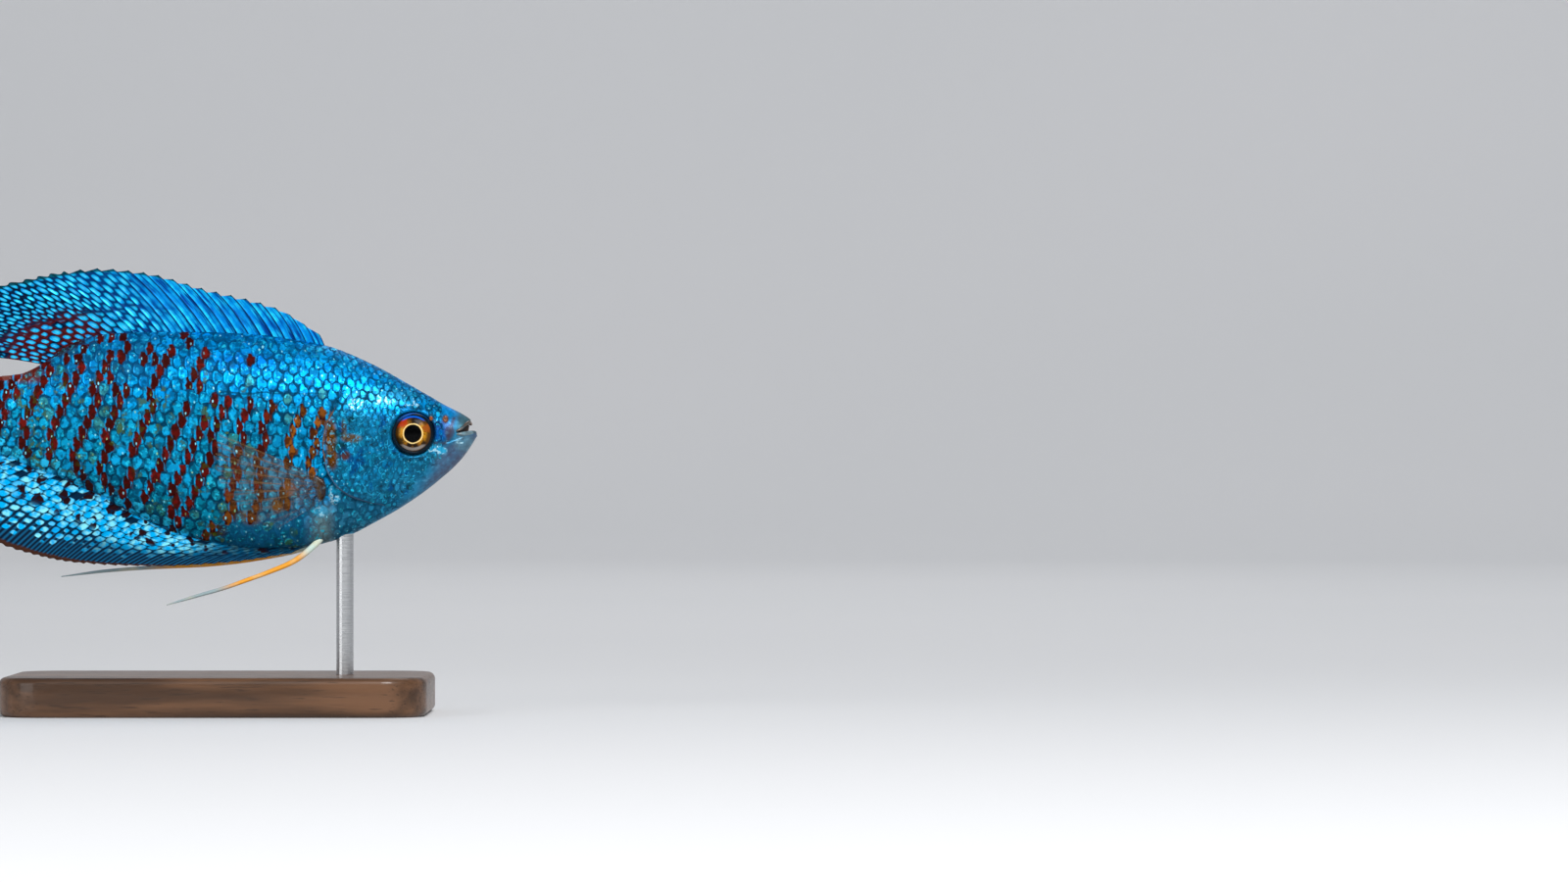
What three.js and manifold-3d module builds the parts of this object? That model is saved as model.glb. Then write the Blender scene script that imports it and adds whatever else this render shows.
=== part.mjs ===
// A life-size dwarf gourami, a small aquarium fish, held over a plain stand by one rod.
// Units are millimetres. The fish faces +X, its back is towards +Z and its left side towards +Y.
// The origin is on the floor under the middle of the fish's length.
import * as THREE from "three";
import { mergeVertices } from "three/addons/utils/BufferGeometryUtils.js";
import Module from "manifold-3d";

const wasm = await Module();
wasm.setup();

// Driving dimensions of the fish
const SNOUT_X = 39.85;
const TAIL_ROOT_X = -23.4;
const GAP = 0.3;
const STALK_CUT_X = -16.5;

// Outline of the body in side view, as [x, z] from the tail root to the snout
const BACK_LINE = [
  [-23.4, 42.9], [-21, 43.2], [-18.5, 43.5], [-16, 44.6], [-13, 46.7], [-9.5, 48.3], [-5, 48.8],
  [3, 48.9], [10, 48.7], [16, 48.0], [21, 47.0], [26, 45.0], [31.5, 42.0], [36, 39.4],
  [38.3, 38.1], [39.1, 37.5], [39.6, 36.75], [SNOUT_X, 35.5],
];
const BELLY_LINE = [
  [-23.4, 33.3], [-21, 32.75], [-17.5, 31.4], [-14, 30.1], [-8.75, 27.75], [-2.5, 24.4], [2, 22.6],
  [7, 21.4], [13, 20.85], [18, 21.1], [22.5, 22.1], [27, 24.25], [31.5, 26.9], [36, 30.4],
  [38, 32.5], [39.2, 34.2], [SNOUT_X, 35.3],
];
// Height of the widest place, and half of the body's width there, as [x, value]
const MIDDLE_LINE = [
  [-23.4, 38.1], [-10, 38.5], [0, 37.6], [10, 36.6], [20, 35.8], [28, 35.2], [34, 35.1], [SNOUT_X, 35.35],
];
const HALF_WIDTH = [
  [-23.4, 0.9], [-20, 1.9], [-15, 3.0], [-8, 4.2], [0, 5.0], [8, 5.45], [16, 5.5], [22, 5.3],
  [27, 4.75], [31.5, 3.95], [35, 3.1], [37.5, 2.35], [39, 1.6], [39.6, 0.95], [SNOUT_X, 0.25],
];
// How sharply the section closes at the back and at the belly: 0.5 is round, more is keeled
const BACK_KEEL = [[-23.4, 0.55], [-5, 0.64], [18, 0.6], [28, 0.48], [SNOUT_X, 0.46]];
const BELLY_KEEL = [[-23.4, 0.55], [-5, 0.7], [12, 0.62], [20, 0.5], [SNOUT_X, 0.48]];

const BODY_STATIONS = 48;
const SIDE_STEPS = 15;

// Gill cover: its rear and lower edge in side view, and how far it stands out
const GILL_EDGE = [
  [24.6, 52], [24.4, 46], [23.7, 42.6], [22.2, 39.3], [20.9, 36.8], [20.5, 34.1], [20.9, 31.4],
  [21.9, 29.4], [23.6, 27.9], [26.2, 26.95], [28.5, 26.5], [30.6, 26.0], [32.4, 22.5],
];
const GILL_RISE = 0.42;

// Eye: place in side view, radius, and how far it bulges out of and sinks into the head
const EYE_X = 31.87;
const EYE_Z = 35.7;
const EYE_RADIUS = 2.64;
const EYE_SUNK = 0.5;
const EYE_BULGE = 1.3;
const EYE_DEPTH = 2.2;

// Nostrils, as [x, z, radius]
const NOSTRILS = [[35.9, 37.5, 0.36], [34.1, 37.6, 0.26]];

// Mouth in side view: the gap between the jaws, which also ends the upper jaw short of the lower one,
// the flesh that closes it at the middle, and the lips from the corner of the mouth to its front.
// Each lip point is [x, z, share of the head's half width there]
const GAPE = [
  [37.2, 35.8], [37.9, 36.15], [38.5, 36.75], [38.8, 37.15], [39.0, 37.3], [39.02, 38.2], [41, 38.2],
  [41, 36.0], [39.5, 35.98], [38.3, 35.85],
];
const MOUTH_LINING = [[37.1, 35.7], [37.9, 36.25], [38.5, 36.85], [38.72, 37.2], [38.86, 36.6], [38.7, 35.8]];
const MOUTH_LINING_HALF = 0.55;
const UPPER_LIP = {
  points: [[37.25, 35.98, 1], [37.9, 36.3, 1], [38.5, 36.9, 0.97], [38.85, 37.14, 0.8], [39.05, 36.88, 0]],
  radius: 0.22,
};
const LOWER_LIP = {
  points: [[37.3, 35.62, 1], [38.1, 35.66, 0.97], [38.9, 35.75, 0.85], [39.35, 35.8, 0.5], [39.45, 35.8, 0]],
  radius: 0.28,
};

// Thickness of fins, as half of the whole: membranes, then rays at the root and at the tip
const MEMBRANE_HALF = 0.25;
const MARGIN_HALF = 0.14;
const RAY_ROOT_HALF = 0.46;
const RAY_TIP_HALF = 0.2;
const RAY_SHOULDER = 0.24;
const FIN_ROOT_DEPTH = 0.9;

// Each fin is given by a few of its rays: number along the fin, foot [x, z] and tip [x, z]
const DORSAL_RAYS = 28;
const DORSAL_SPINES = 17;
const DORSAL_KEYS = [
  [0, [20.3, 47.2], [19.7, 48.4]],
  [3, [16.6, 47.9], [14.1, 51.8]],
  [8, [9.1, 48.7], [4.7, 54.3]],
  [12, [3.75, 48.9], [-2.7, 56.3]],
  [15, [-1.0, 48.85], [-8.6, 56.8]],
  [17, [-4.1, 48.8], [-12.8, 56.4]],
  [19, [-7.3, 48.65], [-17.75, 55.4]],
  [21, [-10.25, 48.1], [-23.5, 54.0]],
  [24, [-13.9, 46.1], [-29.4, 50.7]],
  [26, [-15.5, 45.0], [-29.9, 48.0]],
  [27, [-16.1, 44.6], [-26.6, 45.5]],
];
const ANAL_RAYS = 32;
const ANAL_SPINES = 17;
const ANAL_KEYS = [
  [0, [17.5, 21.05], [16.1, 20.4]],
  [5, [12.75, 20.9], [8.0, 19.2]],
  [10, [6.75, 21.45], [-0.4, 18.75]],
  [14, [1.5, 22.75], [-6.25, 18.85]],
  [18, [-3.5, 24.9], [-12.0, 19.3]],
  [22, [-8.75, 27.75], [-18.0, 20.6]],
  [25, [-13.5, 29.9], [-23.25, 22.6]],
  [28, [-18.25, 31.65], [-28.6, 25.75]],
  [30, [-20.9, 32.7], [-30.2, 28.2]],
  [31, [-22.2, 33.1], [-28.4, 30.2]],
];
const CAUDAL_RAYS = 16;
const CAUDAL_KEYS = [
  [0, [-23.75, 42.3], [-33.2, 46.9]],
  [1, [-23.75, 41.7], [-36.4, 48.2]],
  [2, [-23.75, 41.1], [-38.2, 47.3]],
  [4, [-23.75, 39.9], [-39.4, 43.7]],
  [7.5, [-23.75, 38.1], [-39.95, 38.1]],
  [11, [-23.75, 36.3], [-39.4, 32.5]],
  [13, [-23.75, 35.1], [-38.2, 28.9]],
  [14, [-23.75, 34.5], [-36.4, 28.0]],
  [15, [-23.75, 33.9], [-33.2, 29.3]],
];
const PECTORAL_RAYS = 11;
const PECTORAL_KEYS = [
  [0, [20.6, 29.9], [7.3, 35.9]],
  [2, [20.75, 29.4], [6.8, 32.9]],
  [4, [20.85, 28.9], [7.3, 29.8]],
  [6, [20.85, 28.4], [8.9, 26.7]],
  [8, [20.75, 27.8], [11.4, 24.5]],
  [10, [20.5, 27.3], [14.9, 23.6]],
];
// How far the fin stands off the flank at its root and at its tips, for each side
const PECTORAL_ROOT_OFF = 0.45;
const PECTORAL_TIP_OFF = { right: 1.9, left: 3.4 };
const PECTORAL_ROOT_HALF = 0.85;

// The two thread-like pelvic fins, as points [x, distance from the middle plane, z]
const PELVIC_RIGHT = [
  [20.4, 1.0, 22.9], [19.2, 1.25, 21.5], [16.5, 1.6, 19.4], [13.5, 1.9, 18.1], [10.5, 2.2, 17.0],
  [7.5, 2.5, 15.95], [4.5, 2.8, 15.1], [0.5, 3.2, 13.9],
];
const PELVIC_LEFT = [
  [20.4, 1.0, 22.9], [19.2, 1.25, 21.75], [16.5, 1.6, 20.75], [13.5, 1.8, 20.1], [9, 2.0, 19.35],
  [4.5, 2.2, 18.9], [-1.5, 2.5, 18.6], [-7.5, 2.9, 18.15], [-13.5, 3.3, 17.4],
];
const THREAD_RADII = [0.5, 0.44, 0.36, 0.3, 0.27, 0.26, 0.25, 0.1];
const THREAD_STEPS = 18;
const THREAD_SIDES = 8;

// Stand: a plate on the floor and one rod up into the chest
const BASE = { x: 7, length: 54, width: 34, height: 5, corner: 6, chamfer: 0.8 };
const ROD = { x: 23, radius: 1.1, foot: 2.0, head: 26.2 };

// Smooth value(x) through a short list of [x, value] points, with no overshoot between them
function smoothLine(points) {
  const last = points.length - 1;
  const slopes = points.slice(1).map((p, i) => (p[1] - points[i][1]) / (p[0] - points[i][0]));
  const tangents = points.map((_, i) => {
    if (i === 0) return slopes[0];
    if (i === last) return slopes[last - 1];
    const [before, after] = [slopes[i - 1], slopes[i]];
    return before * after <= 0 ? 0 : (2 * before * after) / (before + after);
  });
  return (x) => {
    let i = 0;
    while (i < last - 1 && x > points[i + 1][0]) i++;
    const [x0, y0] = points[i];
    const [x1, y1] = points[i + 1];
    const h = x1 - x0;
    const t = THREE.MathUtils.clamp((x - x0) / h, 0, 1);
    const a = 2 * t ** 3 - 3 * t ** 2 + 1;
    const b = t ** 3 - 2 * t ** 2 + t;
    const c = 3 * t ** 2 - 2 * t ** 3;
    const d = t ** 3 - t ** 2;
    return a * y0 + b * h * tangents[i] + c * y1 + d * h * tangents[i + 1];
  };
}

const backAt = smoothLine(BACK_LINE);
const bellyAt = smoothLine(BELLY_LINE);
const middleAt = smoothLine(MIDDLE_LINE);
const halfWidthAt = smoothLine(HALF_WIDTH);
const backKeelAt = smoothLine(BACK_KEEL);
const bellyKeelAt = smoothLine(BELLY_KEEL);
const { smoothstep } = THREE.MathUtils;

// Half width of the body at height z of the section at x, with the whole section grown by swell
function flankAt(x, z, swell = 0) {
  const middle = middleAt(x);
  const reach = z > middle ? backAt(x) + swell - middle : middle - bellyAt(x) + swell;
  const share = Math.min(1, Math.abs(z - middle) / reach);
  const keel = z > middle ? backKeelAt(x) : bellyKeelAt(x);
  return (halfWidthAt(x) + swell) * (1 - share ** 2) ** keel;
}

// How far the gill cover stands out of the head at a place in side view
function gillRise(x, z) {
  const alongHead = smoothstep(-x, -30, -22.5);
  const belowNape = smoothstep(-z, -41.5, -38.5);
  const aboveThroat = smoothstep(z, 25.6, 27.6);
  return GILL_RISE * alongHead * belowNape * aboveThroat;
}

// A closed mesh as a solid, from flat lists of coordinates and of triangle corners.
// Where its triangles face inwards, the list is taken backwards, which turns each of them.
function solid(positions, triangles) {
  const vertProperties = new Float32Array(positions);
  const facing = (triVerts) => new wasm.Manifold(new wasm.Mesh({ numProp: 3, vertProperties, triVerts }));
  const made = facing(new Uint32Array(triangles));
  return made.volume() > 0 ? made : facing(new Uint32Array(triangles).reverse());
}

// A three.js geometry as a solid
function solidOf(geometry) {
  const bare = geometry.clone();
  bare.deleteAttribute("normal");
  bare.deleteAttribute("uv");
  const merged = mergeVertices(bare, 1e-4);
  return solid(merged.attributes.position.array, merged.index.array);
}

// A solid as a three.js geometry
function geometryOf(made) {
  const mesh = made.getMesh();
  const geometry = new THREE.BufferGeometry();
  geometry.setAttribute("position", new THREE.BufferAttribute(new Float32Array(mesh.vertProperties), 3));
  geometry.setIndex(new THREE.BufferAttribute(new Uint32Array(mesh.triVerts), 1));
  geometry.computeVertexNormals();
  return geometry;
}

// The largest closed piece of a solid
function largest(made) {
  const pieces = made.decompose();
  return pieces.reduce((best, piece) => (piece.volume() > best.volume() ? piece : best));
}

// The whole body without fins, as one skin of stations from the tail root to the snout
function bodySolid({ swell = 0, rise = () => 0 } = {}) {
  const positions = [];
  const triangles = [];
  const ring = 2 * SIDE_STEPS;
  for (let i = 0; i < BODY_STATIONS; i++) {
    const x = TAIL_ROOT_X + (SNOUT_X - TAIL_ROOT_X) * Math.sin((Math.PI / 2) * (i / BODY_STATIONS));
    const middle = middleAt(x);
    for (let j = 0; j < ring; j++) {
      const turn = (Math.PI * j) / SIDE_STEPS - Math.PI / 2;
      const lift = Math.sin(turn);
      const reach = lift > 0 ? backAt(x) + swell - middle : middle - bellyAt(x) + swell;
      const keel = lift > 0 ? backKeelAt(x) : bellyKeelAt(x);
      const z = middle + lift * reach;
      const edge = j % SIDE_STEPS === 0;
      const y = edge ? 0 : (halfWidthAt(x) + swell) * (1 - lift ** 2) ** keel + rise(x, z);
      positions.push(x, j < SIDE_STEPS ? y : -y, z);
    }
  }
  for (let i = 0; i < BODY_STATIONS - 1; i++) {
    for (let j = 0; j < ring; j++) {
      const a = i * ring + j;
      const b = i * ring + ((j + 1) % ring);
      triangles.push(a, a + ring, b, b, a + ring, b + ring);
    }
  }
  const snout = positions.length / 3;
  positions.push(SNOUT_X, 0, middleAt(SNOUT_X));
  const root = snout + 1;
  positions.push(TAIL_ROOT_X, 0, middleAt(TAIL_ROOT_X));
  const front = (BODY_STATIONS - 1) * ring;
  for (let j = 0; j < ring; j++) {
    triangles.push(front + j, snout, front + ((j + 1) % ring));
    triangles.push(j, (j + 1) % ring, root);
  }
  return solid(positions, triangles);
}

// A side-view outline of [x, z] points drawn right across the fish
function slab(outline, halfDepth) {
  const shape = new THREE.Shape(outline.map(([x, z]) => new THREE.Vector2(x, z)));
  const geometry = new THREE.ExtrudeGeometry(shape, { depth: 2 * halfDepth, bevelEnabled: false });
  geometry.rotateX(Math.PI / 2).translate(0, halfDepth, 0);
  return solidOf(geometry);
}

// A smooth line of [x, z] points moved sideways by a distance
function movedLine(points, distance) {
  const curve = new THREE.SplineCurve(points.map(([x, z]) => new THREE.Vector2(x, z)));
  const moved = [];
  for (let i = 0; i <= 36; i++) {
    const place = curve.getPointAt(i / 36);
    const along = curve.getTangentAt(i / 36);
    moved.push([place.x - along.y * distance, place.y + along.x * distance]);
  }
  return moved;
}

// A tube that thins along a smooth line of points, with round sections and flat ends
function thread(points, radii, side) {
  const curve = new THREE.CatmullRomCurve3(points.map(([x, y, z]) => new THREE.Vector3(x, side * y, z)));
  const radiusAt = smoothLine(radii.map((r, i) => [i / (radii.length - 1), r]));
  const frames = curve.computeFrenetFrames(THREAD_STEPS, false);
  const positions = [];
  const triangles = [];
  for (let i = 0; i <= THREAD_STEPS; i++) {
    const centre = curve.getPointAt(i / THREAD_STEPS);
    const radius = radiusAt(i / THREAD_STEPS);
    for (let j = 0; j < THREAD_SIDES; j++) {
      const turn = (2 * Math.PI * j) / THREAD_SIDES;
      const spot = centre.clone();
      spot.addScaledVector(frames.normals[i], radius * Math.cos(turn));
      spot.addScaledVector(frames.binormals[i], radius * Math.sin(turn));
      positions.push(spot.x, spot.y, spot.z);
    }
  }
  for (let i = 0; i < THREAD_STEPS; i++) {
    for (let j = 0; j < THREAD_SIDES; j++) {
      const a = i * THREAD_SIDES + j;
      const b = i * THREAD_SIDES + ((j + 1) % THREAD_SIDES);
      triangles.push(a, b, a + THREAD_SIDES, b, b + THREAD_SIDES, a + THREAD_SIDES);
    }
  }
  const end = THREAD_STEPS * THREAD_SIDES;
  for (let j = 1; j < THREAD_SIDES - 1; j++) {
    triangles.push(0, j + 1, j);
    triangles.push(end, end + j, end + j + 1);
  }
  return solid(positions, triangles);
}

// A fin of rays and membranes: a thin sheet with a ridge along each ray, alike on both faces.
// Each ray takes three columns of the sheet: its ridge and a shoulder on either side.
// place(foot, tip, share) gives the middle of the sheet, and halfAt(share) the root's extra half.
function finSolid({ keys, rays, rows, place, edgeBefore, edgeAfter, rootHalf = 0, rootShare = 0.2 }) {
  const lines = [1, 2].map((part) => [0, 1].map((axis) => smoothLine(keys.map((k) => [k[0], k[part][axis]]))));
  const rayAt = (number) => lines.map(([x, z]) => new THREE.Vector2(x(number), z(number)));
  const columns = [];
  for (let ray = 0; ray < rays; ray++) {
    const [foot] = rayAt(ray);
    const [next] = rayAt(ray < rays - 1 ? ray + 1 : ray - 1);
    const shoulder = Math.min(0.3, RAY_SHOULDER / foot.distanceTo(next));
    if (ray > 0) columns.push({ number: ray - shoulder, reach: edgeBefore(ray), ridge: false });
    columns.push({ number: ray, reach: 1, ridge: true });
    if (ray < rays - 1) columns.push({ number: ray + shoulder, reach: edgeAfter(ray), ridge: false });
  }
  const positions = [];
  for (const face of [1, -1]) {
    for (const { number, reach, ridge } of columns) {
      const [foot, tip] = rayAt(number);
      for (let row = 0; row <= rows; row++) {
        const share = (row / rows) * reach;
        const middle = place(foot, tip, share, number);
        const ray = THREE.MathUtils.lerp(RAY_ROOT_HALF, RAY_TIP_HALF, share);
        const sheet = row === rows ? MARGIN_HALF : MEMBRANE_HALF;
        const root = rootHalf * (1 - smoothstep(share, 0, rootShare));
        const half = Math.max(ridge ? ray : sheet, root);
        positions.push(middle.x, middle.y + face * half, middle.z);
      }
    }
  }
  const triangles = [];
  const tall = rows + 1;
  const sheetSize = columns.length * tall;
  const quad = (a, b, c, d) => triangles.push(a, b, c, a, c, d);
  for (let c = 0; c < columns.length - 1; c++) {
    for (let r = 0; r < rows; r++) {
      const [a, b] = [c * tall + r, (c + 1) * tall + r];
      triangles.push(a, b + 1, b, a, a + 1, b + 1);
      triangles.push(a + sheetSize, b + sheetSize, b + 1 + sheetSize);
      triangles.push(a + sheetSize, b + 1 + sheetSize, a + 1 + sheetSize);
    }
    quad(c * tall, (c + 1) * tall, (c + 1) * tall + sheetSize, c * tall + sheetSize);
    const [a, b] = [c * tall + rows, (c + 1) * tall + rows];
    quad(a, a + sheetSize, b + sheetSize, b);
  }
  const end = (columns.length - 1) * tall;
  for (let r = 0; r < rows; r++) {
    quad(r, r + sheetSize, r + 1 + sheetSize, r + 1);
    quad(end + r, end + r + 1, end + r + 1 + sheetSize, end + r + sheetSize);
  }
  return solid(positions, triangles);
}

// A ray of a fin on the middle plane. It sags by a share of its length, and the sheet sways sideways.
function medianPlace({ sag, sway }) {
  return (foot, tip, share, number) => {
    const along = tip.clone().sub(foot);
    const length = along.length();
    const root = -FIN_ROOT_DEPTH / length;
    const t = root + (1 - root) * share;
    const bend = sag * length * 4 * t * (1 - t);
    const x = foot.x + along.x * t - (bend * along.y) / length;
    const z = foot.y + along.y * t + (bend * along.x) / length;
    return new THREE.Vector3(x, sway(number) * t * t, z);
  };
}

// The parts of the fish

const wholeBody = bodySolid();
const clearBody = bodySolid({ swell: GAP });

function makeHead() {
  const edge = movedLine(GILL_EDGE, GAP / 2);
  const region = slab([...edge, [45, 22], [45, 52]], 20);
  let head = bodySolid({ rise: gillRise }).intersect(region);
  head = head.subtract(slab(GAPE, 6)).add(slab(MOUTH_LINING, MOUTH_LINING_HALF));
  for (const lip of [UPPER_LIP, LOWER_LIP]) head = head.add(lipSolid(lip));
  for (const side of [1, -1]) {
    head = head.subtract(eyeSolid(side, GAP));
    for (const [x, z, radius] of NOSTRILS) {
      const pit = new THREE.SphereGeometry(radius, 8, 6).translate(x, side * (flankAt(x, z) + 0.1), z);
      head = head.subtract(solidOf(pit));
    }
  }
  return largest(head);
}

// A lip: a soft roll along one jaw, from the left corner of the mouth round to the right corner
function lipSolid({ points, radius }) {
  const half = points.map(([x, z, share]) => [x, share * Math.max(0, flankAt(x, z) - 0.12), z]);
  const otherHalf = half.slice(0, -1).reverse().map(([x, y, z]) => [x, -y, z]);
  const radii = [0.3, 0.8, 1, 1, 1, 1, 1, 0.8, 0.3].map((share) => share * radius);
  return thread([...half, ...otherHalf], radii, 1);
}

// An eye: a low dome outside and a deeper bowl inside, turned about the fish's width
function eyeSolid(side, grow) {
  const steps = 5;
  const outline = [];
  for (let i = 0; i <= 2 * steps; i++) {
    const turn = (Math.PI / 2) * (i / steps - 1);
    const depth = turn > 0 ? EYE_BULGE : EYE_DEPTH;
    const radius = i % (2 * steps) === 0 ? 0 : (EYE_RADIUS + grow) * Math.cos(turn);
    outline.push(new THREE.Vector2(radius, (depth + grow) * Math.sin(turn)));
  }
  const geometry = new THREE.LatheGeometry(outline, 22);
  const centre = flankAt(EYE_X, EYE_Z) - EYE_SUNK;
  geometry.rotateX(side > 0 ? 0 : Math.PI).translate(EYE_X, side * centre, EYE_Z);
  return solidOf(geometry);
}

function makeTorso() {
  const edge = movedLine(GILL_EDGE, -GAP / 2);
  const rear = STALK_CUT_X + GAP / 2;
  const region = slab([...edge, [rear, 10], [rear, 60]], 20);
  return largest(wholeBody.intersect(region).subtract(rodSolid(GAP)));
}

function makeTailStalk() {
  const front = STALK_CUT_X - GAP / 2;
  return wholeBody.intersect(slab([[-30, 10], [front, 10], [front, 60], [-30, 60]], 20));
}

function makeDorsalFin() {
  const spiny = (ray) => ray < DORSAL_SPINES;
  const fin = finSolid({
    keys: DORSAL_KEYS,
    rays: DORSAL_RAYS,
    rows: 5,
    place: medianPlace({ sag: -0.03, sway: (number) => 1.1 * smoothstep(number, 14, 27) }),
    edgeBefore: (ray) => (spiny(ray) ? 0.9 : 0.965),
    edgeAfter: (ray) => (spiny(ray) ? 0.97 : 0.975),
  });
  return largest(fin.subtract(clearBody));
}

function makeAnalFin() {
  const fin = finSolid({
    keys: ANAL_KEYS,
    rays: ANAL_RAYS,
    rows: 5,
    place: medianPlace({ sag: -0.03, sway: (number) => -1.0 * smoothstep(number, 16, 31) }),
    edgeBefore: (ray) => (ray < ANAL_SPINES ? 0.955 : 0.985),
    edgeAfter: () => 0.985,
  });
  return largest(fin.subtract(clearBody));
}

function makeCaudalFin() {
  const fin = finSolid({
    keys: CAUDAL_KEYS,
    rays: CAUDAL_RAYS,
    rows: 6,
    place: (foot, tip, share, number) => {
      const spot = foot.clone().lerp(tip, share);
      return new THREE.Vector3(spot.x, 0.8 * share ** 2 * Math.cos((number - 4) * 0.35), spot.y);
    },
    edgeBefore: () => 0.97,
    edgeAfter: () => 0.97,
    rootHalf: 0.75,
    rootShare: 0.35,
  });
  return largest(fin);
}

function makePectoralFin(side) {
  const tipOff = side > 0 ? PECTORAL_TIP_OFF.left : PECTORAL_TIP_OFF.right;
  const fin = finSolid({
    keys: PECTORAL_KEYS,
    rays: PECTORAL_RAYS,
    rows: 5,
    place: (foot, tip, share) => {
      const spot = foot.clone().lerp(tip, share);
      const off = PECTORAL_ROOT_OFF + (tipOff - PECTORAL_ROOT_OFF) * share ** 1.2;
      return new THREE.Vector3(spot.x, side * (flankAt(spot.x, spot.y) + off), spot.y);
    },
    edgeBefore: () => 0.97,
    edgeAfter: () => 0.97,
    rootHalf: PECTORAL_ROOT_HALF,
    rootShare: 0.28,
  });
  return largest(fin.subtract(clearBody));
}

function makePelvicFin(side) {
  const points = side > 0 ? PELVIC_LEFT : PELVIC_RIGHT;
  return largest(thread(points, THREAD_RADII, side).subtract(clearBody));
}

// The parts of the stand

function rodSolid(grow) {
  const height = ROD.head - ROD.foot + 2 * grow;
  const geometry = new THREE.CylinderGeometry(ROD.radius + grow, ROD.radius + grow, height, 20);
  geometry.rotateX(Math.PI / 2).translate(ROD.x, 0, (ROD.head + ROD.foot) / 2);
  return solidOf(geometry);
}

function makeBase() {
  const { length, width, height, corner, chamfer } = BASE;
  const [halfX, halfY] = [length / 2 - chamfer, width / 2 - chamfer];
  const radius = corner - chamfer;
  const shape = new THREE.Shape();
  shape.moveTo(-halfX + radius, -halfY);
  shape.lineTo(halfX - radius, -halfY);
  shape.absarc(halfX - radius, -halfY + radius, radius, -Math.PI / 2, 0, false);
  shape.lineTo(halfX, halfY - radius);
  shape.absarc(halfX - radius, halfY - radius, radius, 0, Math.PI / 2, false);
  shape.lineTo(-halfX + radius, halfY);
  shape.absarc(-halfX + radius, halfY - radius, radius, Math.PI / 2, Math.PI, false);
  shape.lineTo(-halfX, -halfY + radius);
  shape.absarc(-halfX + radius, -halfY + radius, radius, Math.PI, 1.5 * Math.PI, false);
  const geometry = new THREE.ExtrudeGeometry(shape, {
    depth: height - 2 * chamfer,
    bevelThickness: chamfer,
    bevelSize: chamfer,
    bevelSegments: 1,
    curveSegments: 5,
  });
  geometry.translate(BASE.x, 0, chamfer);
  return solidOf(geometry).subtract(rodSolid(GAP));
}

// Colours and finishes
const finish = (color, roughness, metalness = 0) => new THREE.MeshStandardMaterial({ color, roughness, metalness });
const scaleBlue = finish(0x1d8fc4, 0.35, 0.2);
const headBlue = finish(0x1f86b4, 0.38, 0.2);
const finBlue = finish(0x1277b8, 0.45);
const finClear = finish(0xa9b3a0, 0.5);
const threadOrange = finish(0xe39a2a, 0.5);
const eyeGold = finish(0x8a5a14, 0.12);
const standWood = finish(0x5b3d26, 0.5);
const standSteel = finish(0xc4c6c8, 0.3, 1);

const gourami = new THREE.Group();
function put(name, made, material) {
  const mesh = new THREE.Mesh(geometryOf(made), material);
  mesh.name = name;
  gourami.add(mesh);
}

put("head", makeHead(), headBlue);
put("torso", makeTorso(), scaleBlue);
put("tail_stalk", makeTailStalk(), scaleBlue);
put("fin_dorsal", makeDorsalFin(), finBlue);
put("fin_anal", makeAnalFin(), finBlue);
put("fin_caudal", makeCaudalFin(), finBlue);
for (const [name, side] of [["left", 1], ["right", -1]]) {
  put(`eye_${name}`, eyeSolid(side, 0), eyeGold);
  put(`fin_pectoral_${name}`, makePectoralFin(side), finClear);
  put(`fin_pelvic_${name}`, makePelvicFin(side), threadOrange);
}
put("stand_base", makeBase(), standWood);
put("stand_rod", rodSolid(0), standSteel);

export default gourami;
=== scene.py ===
"""Dresses a life-size dwarf gourami on its display stand: skin, scales, fins, eyes, stand and studio."""

import math

import bmesh
import bpy
import numpy as np
from bpy.props import FloatProperty, FloatVectorProperty, IntProperty, PointerProperty
from bpy.types import Operator, Panel, PropertyGroup
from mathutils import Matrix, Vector


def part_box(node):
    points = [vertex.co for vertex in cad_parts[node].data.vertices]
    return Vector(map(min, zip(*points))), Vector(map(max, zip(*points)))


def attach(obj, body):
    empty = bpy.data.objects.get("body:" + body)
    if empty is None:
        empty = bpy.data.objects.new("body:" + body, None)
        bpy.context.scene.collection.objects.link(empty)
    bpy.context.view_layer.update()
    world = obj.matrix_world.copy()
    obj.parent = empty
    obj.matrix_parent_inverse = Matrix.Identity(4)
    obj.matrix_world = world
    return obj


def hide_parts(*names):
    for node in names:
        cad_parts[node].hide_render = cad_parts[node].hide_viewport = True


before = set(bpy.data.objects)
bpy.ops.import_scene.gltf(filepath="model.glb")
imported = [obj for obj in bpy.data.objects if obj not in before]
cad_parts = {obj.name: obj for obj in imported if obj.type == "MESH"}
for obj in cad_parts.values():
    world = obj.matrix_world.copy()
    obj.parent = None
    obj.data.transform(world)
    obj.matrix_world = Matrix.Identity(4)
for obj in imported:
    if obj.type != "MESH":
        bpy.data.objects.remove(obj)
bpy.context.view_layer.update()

bl_info = {
    "name": "Dwarf Gourami",
    "version": (1, 0, 0),
    "blender": (4, 5, 0),
    "location": "3D View > Sidebar > Gourami",
    "description": "Builds the skin, scales, fins, eyes, stand and studio of a life-size dwarf gourami",
    "category": "Add Mesh",
}

# All shapes are worked out in millimetres and made in metres
MM = 0.001

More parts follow.
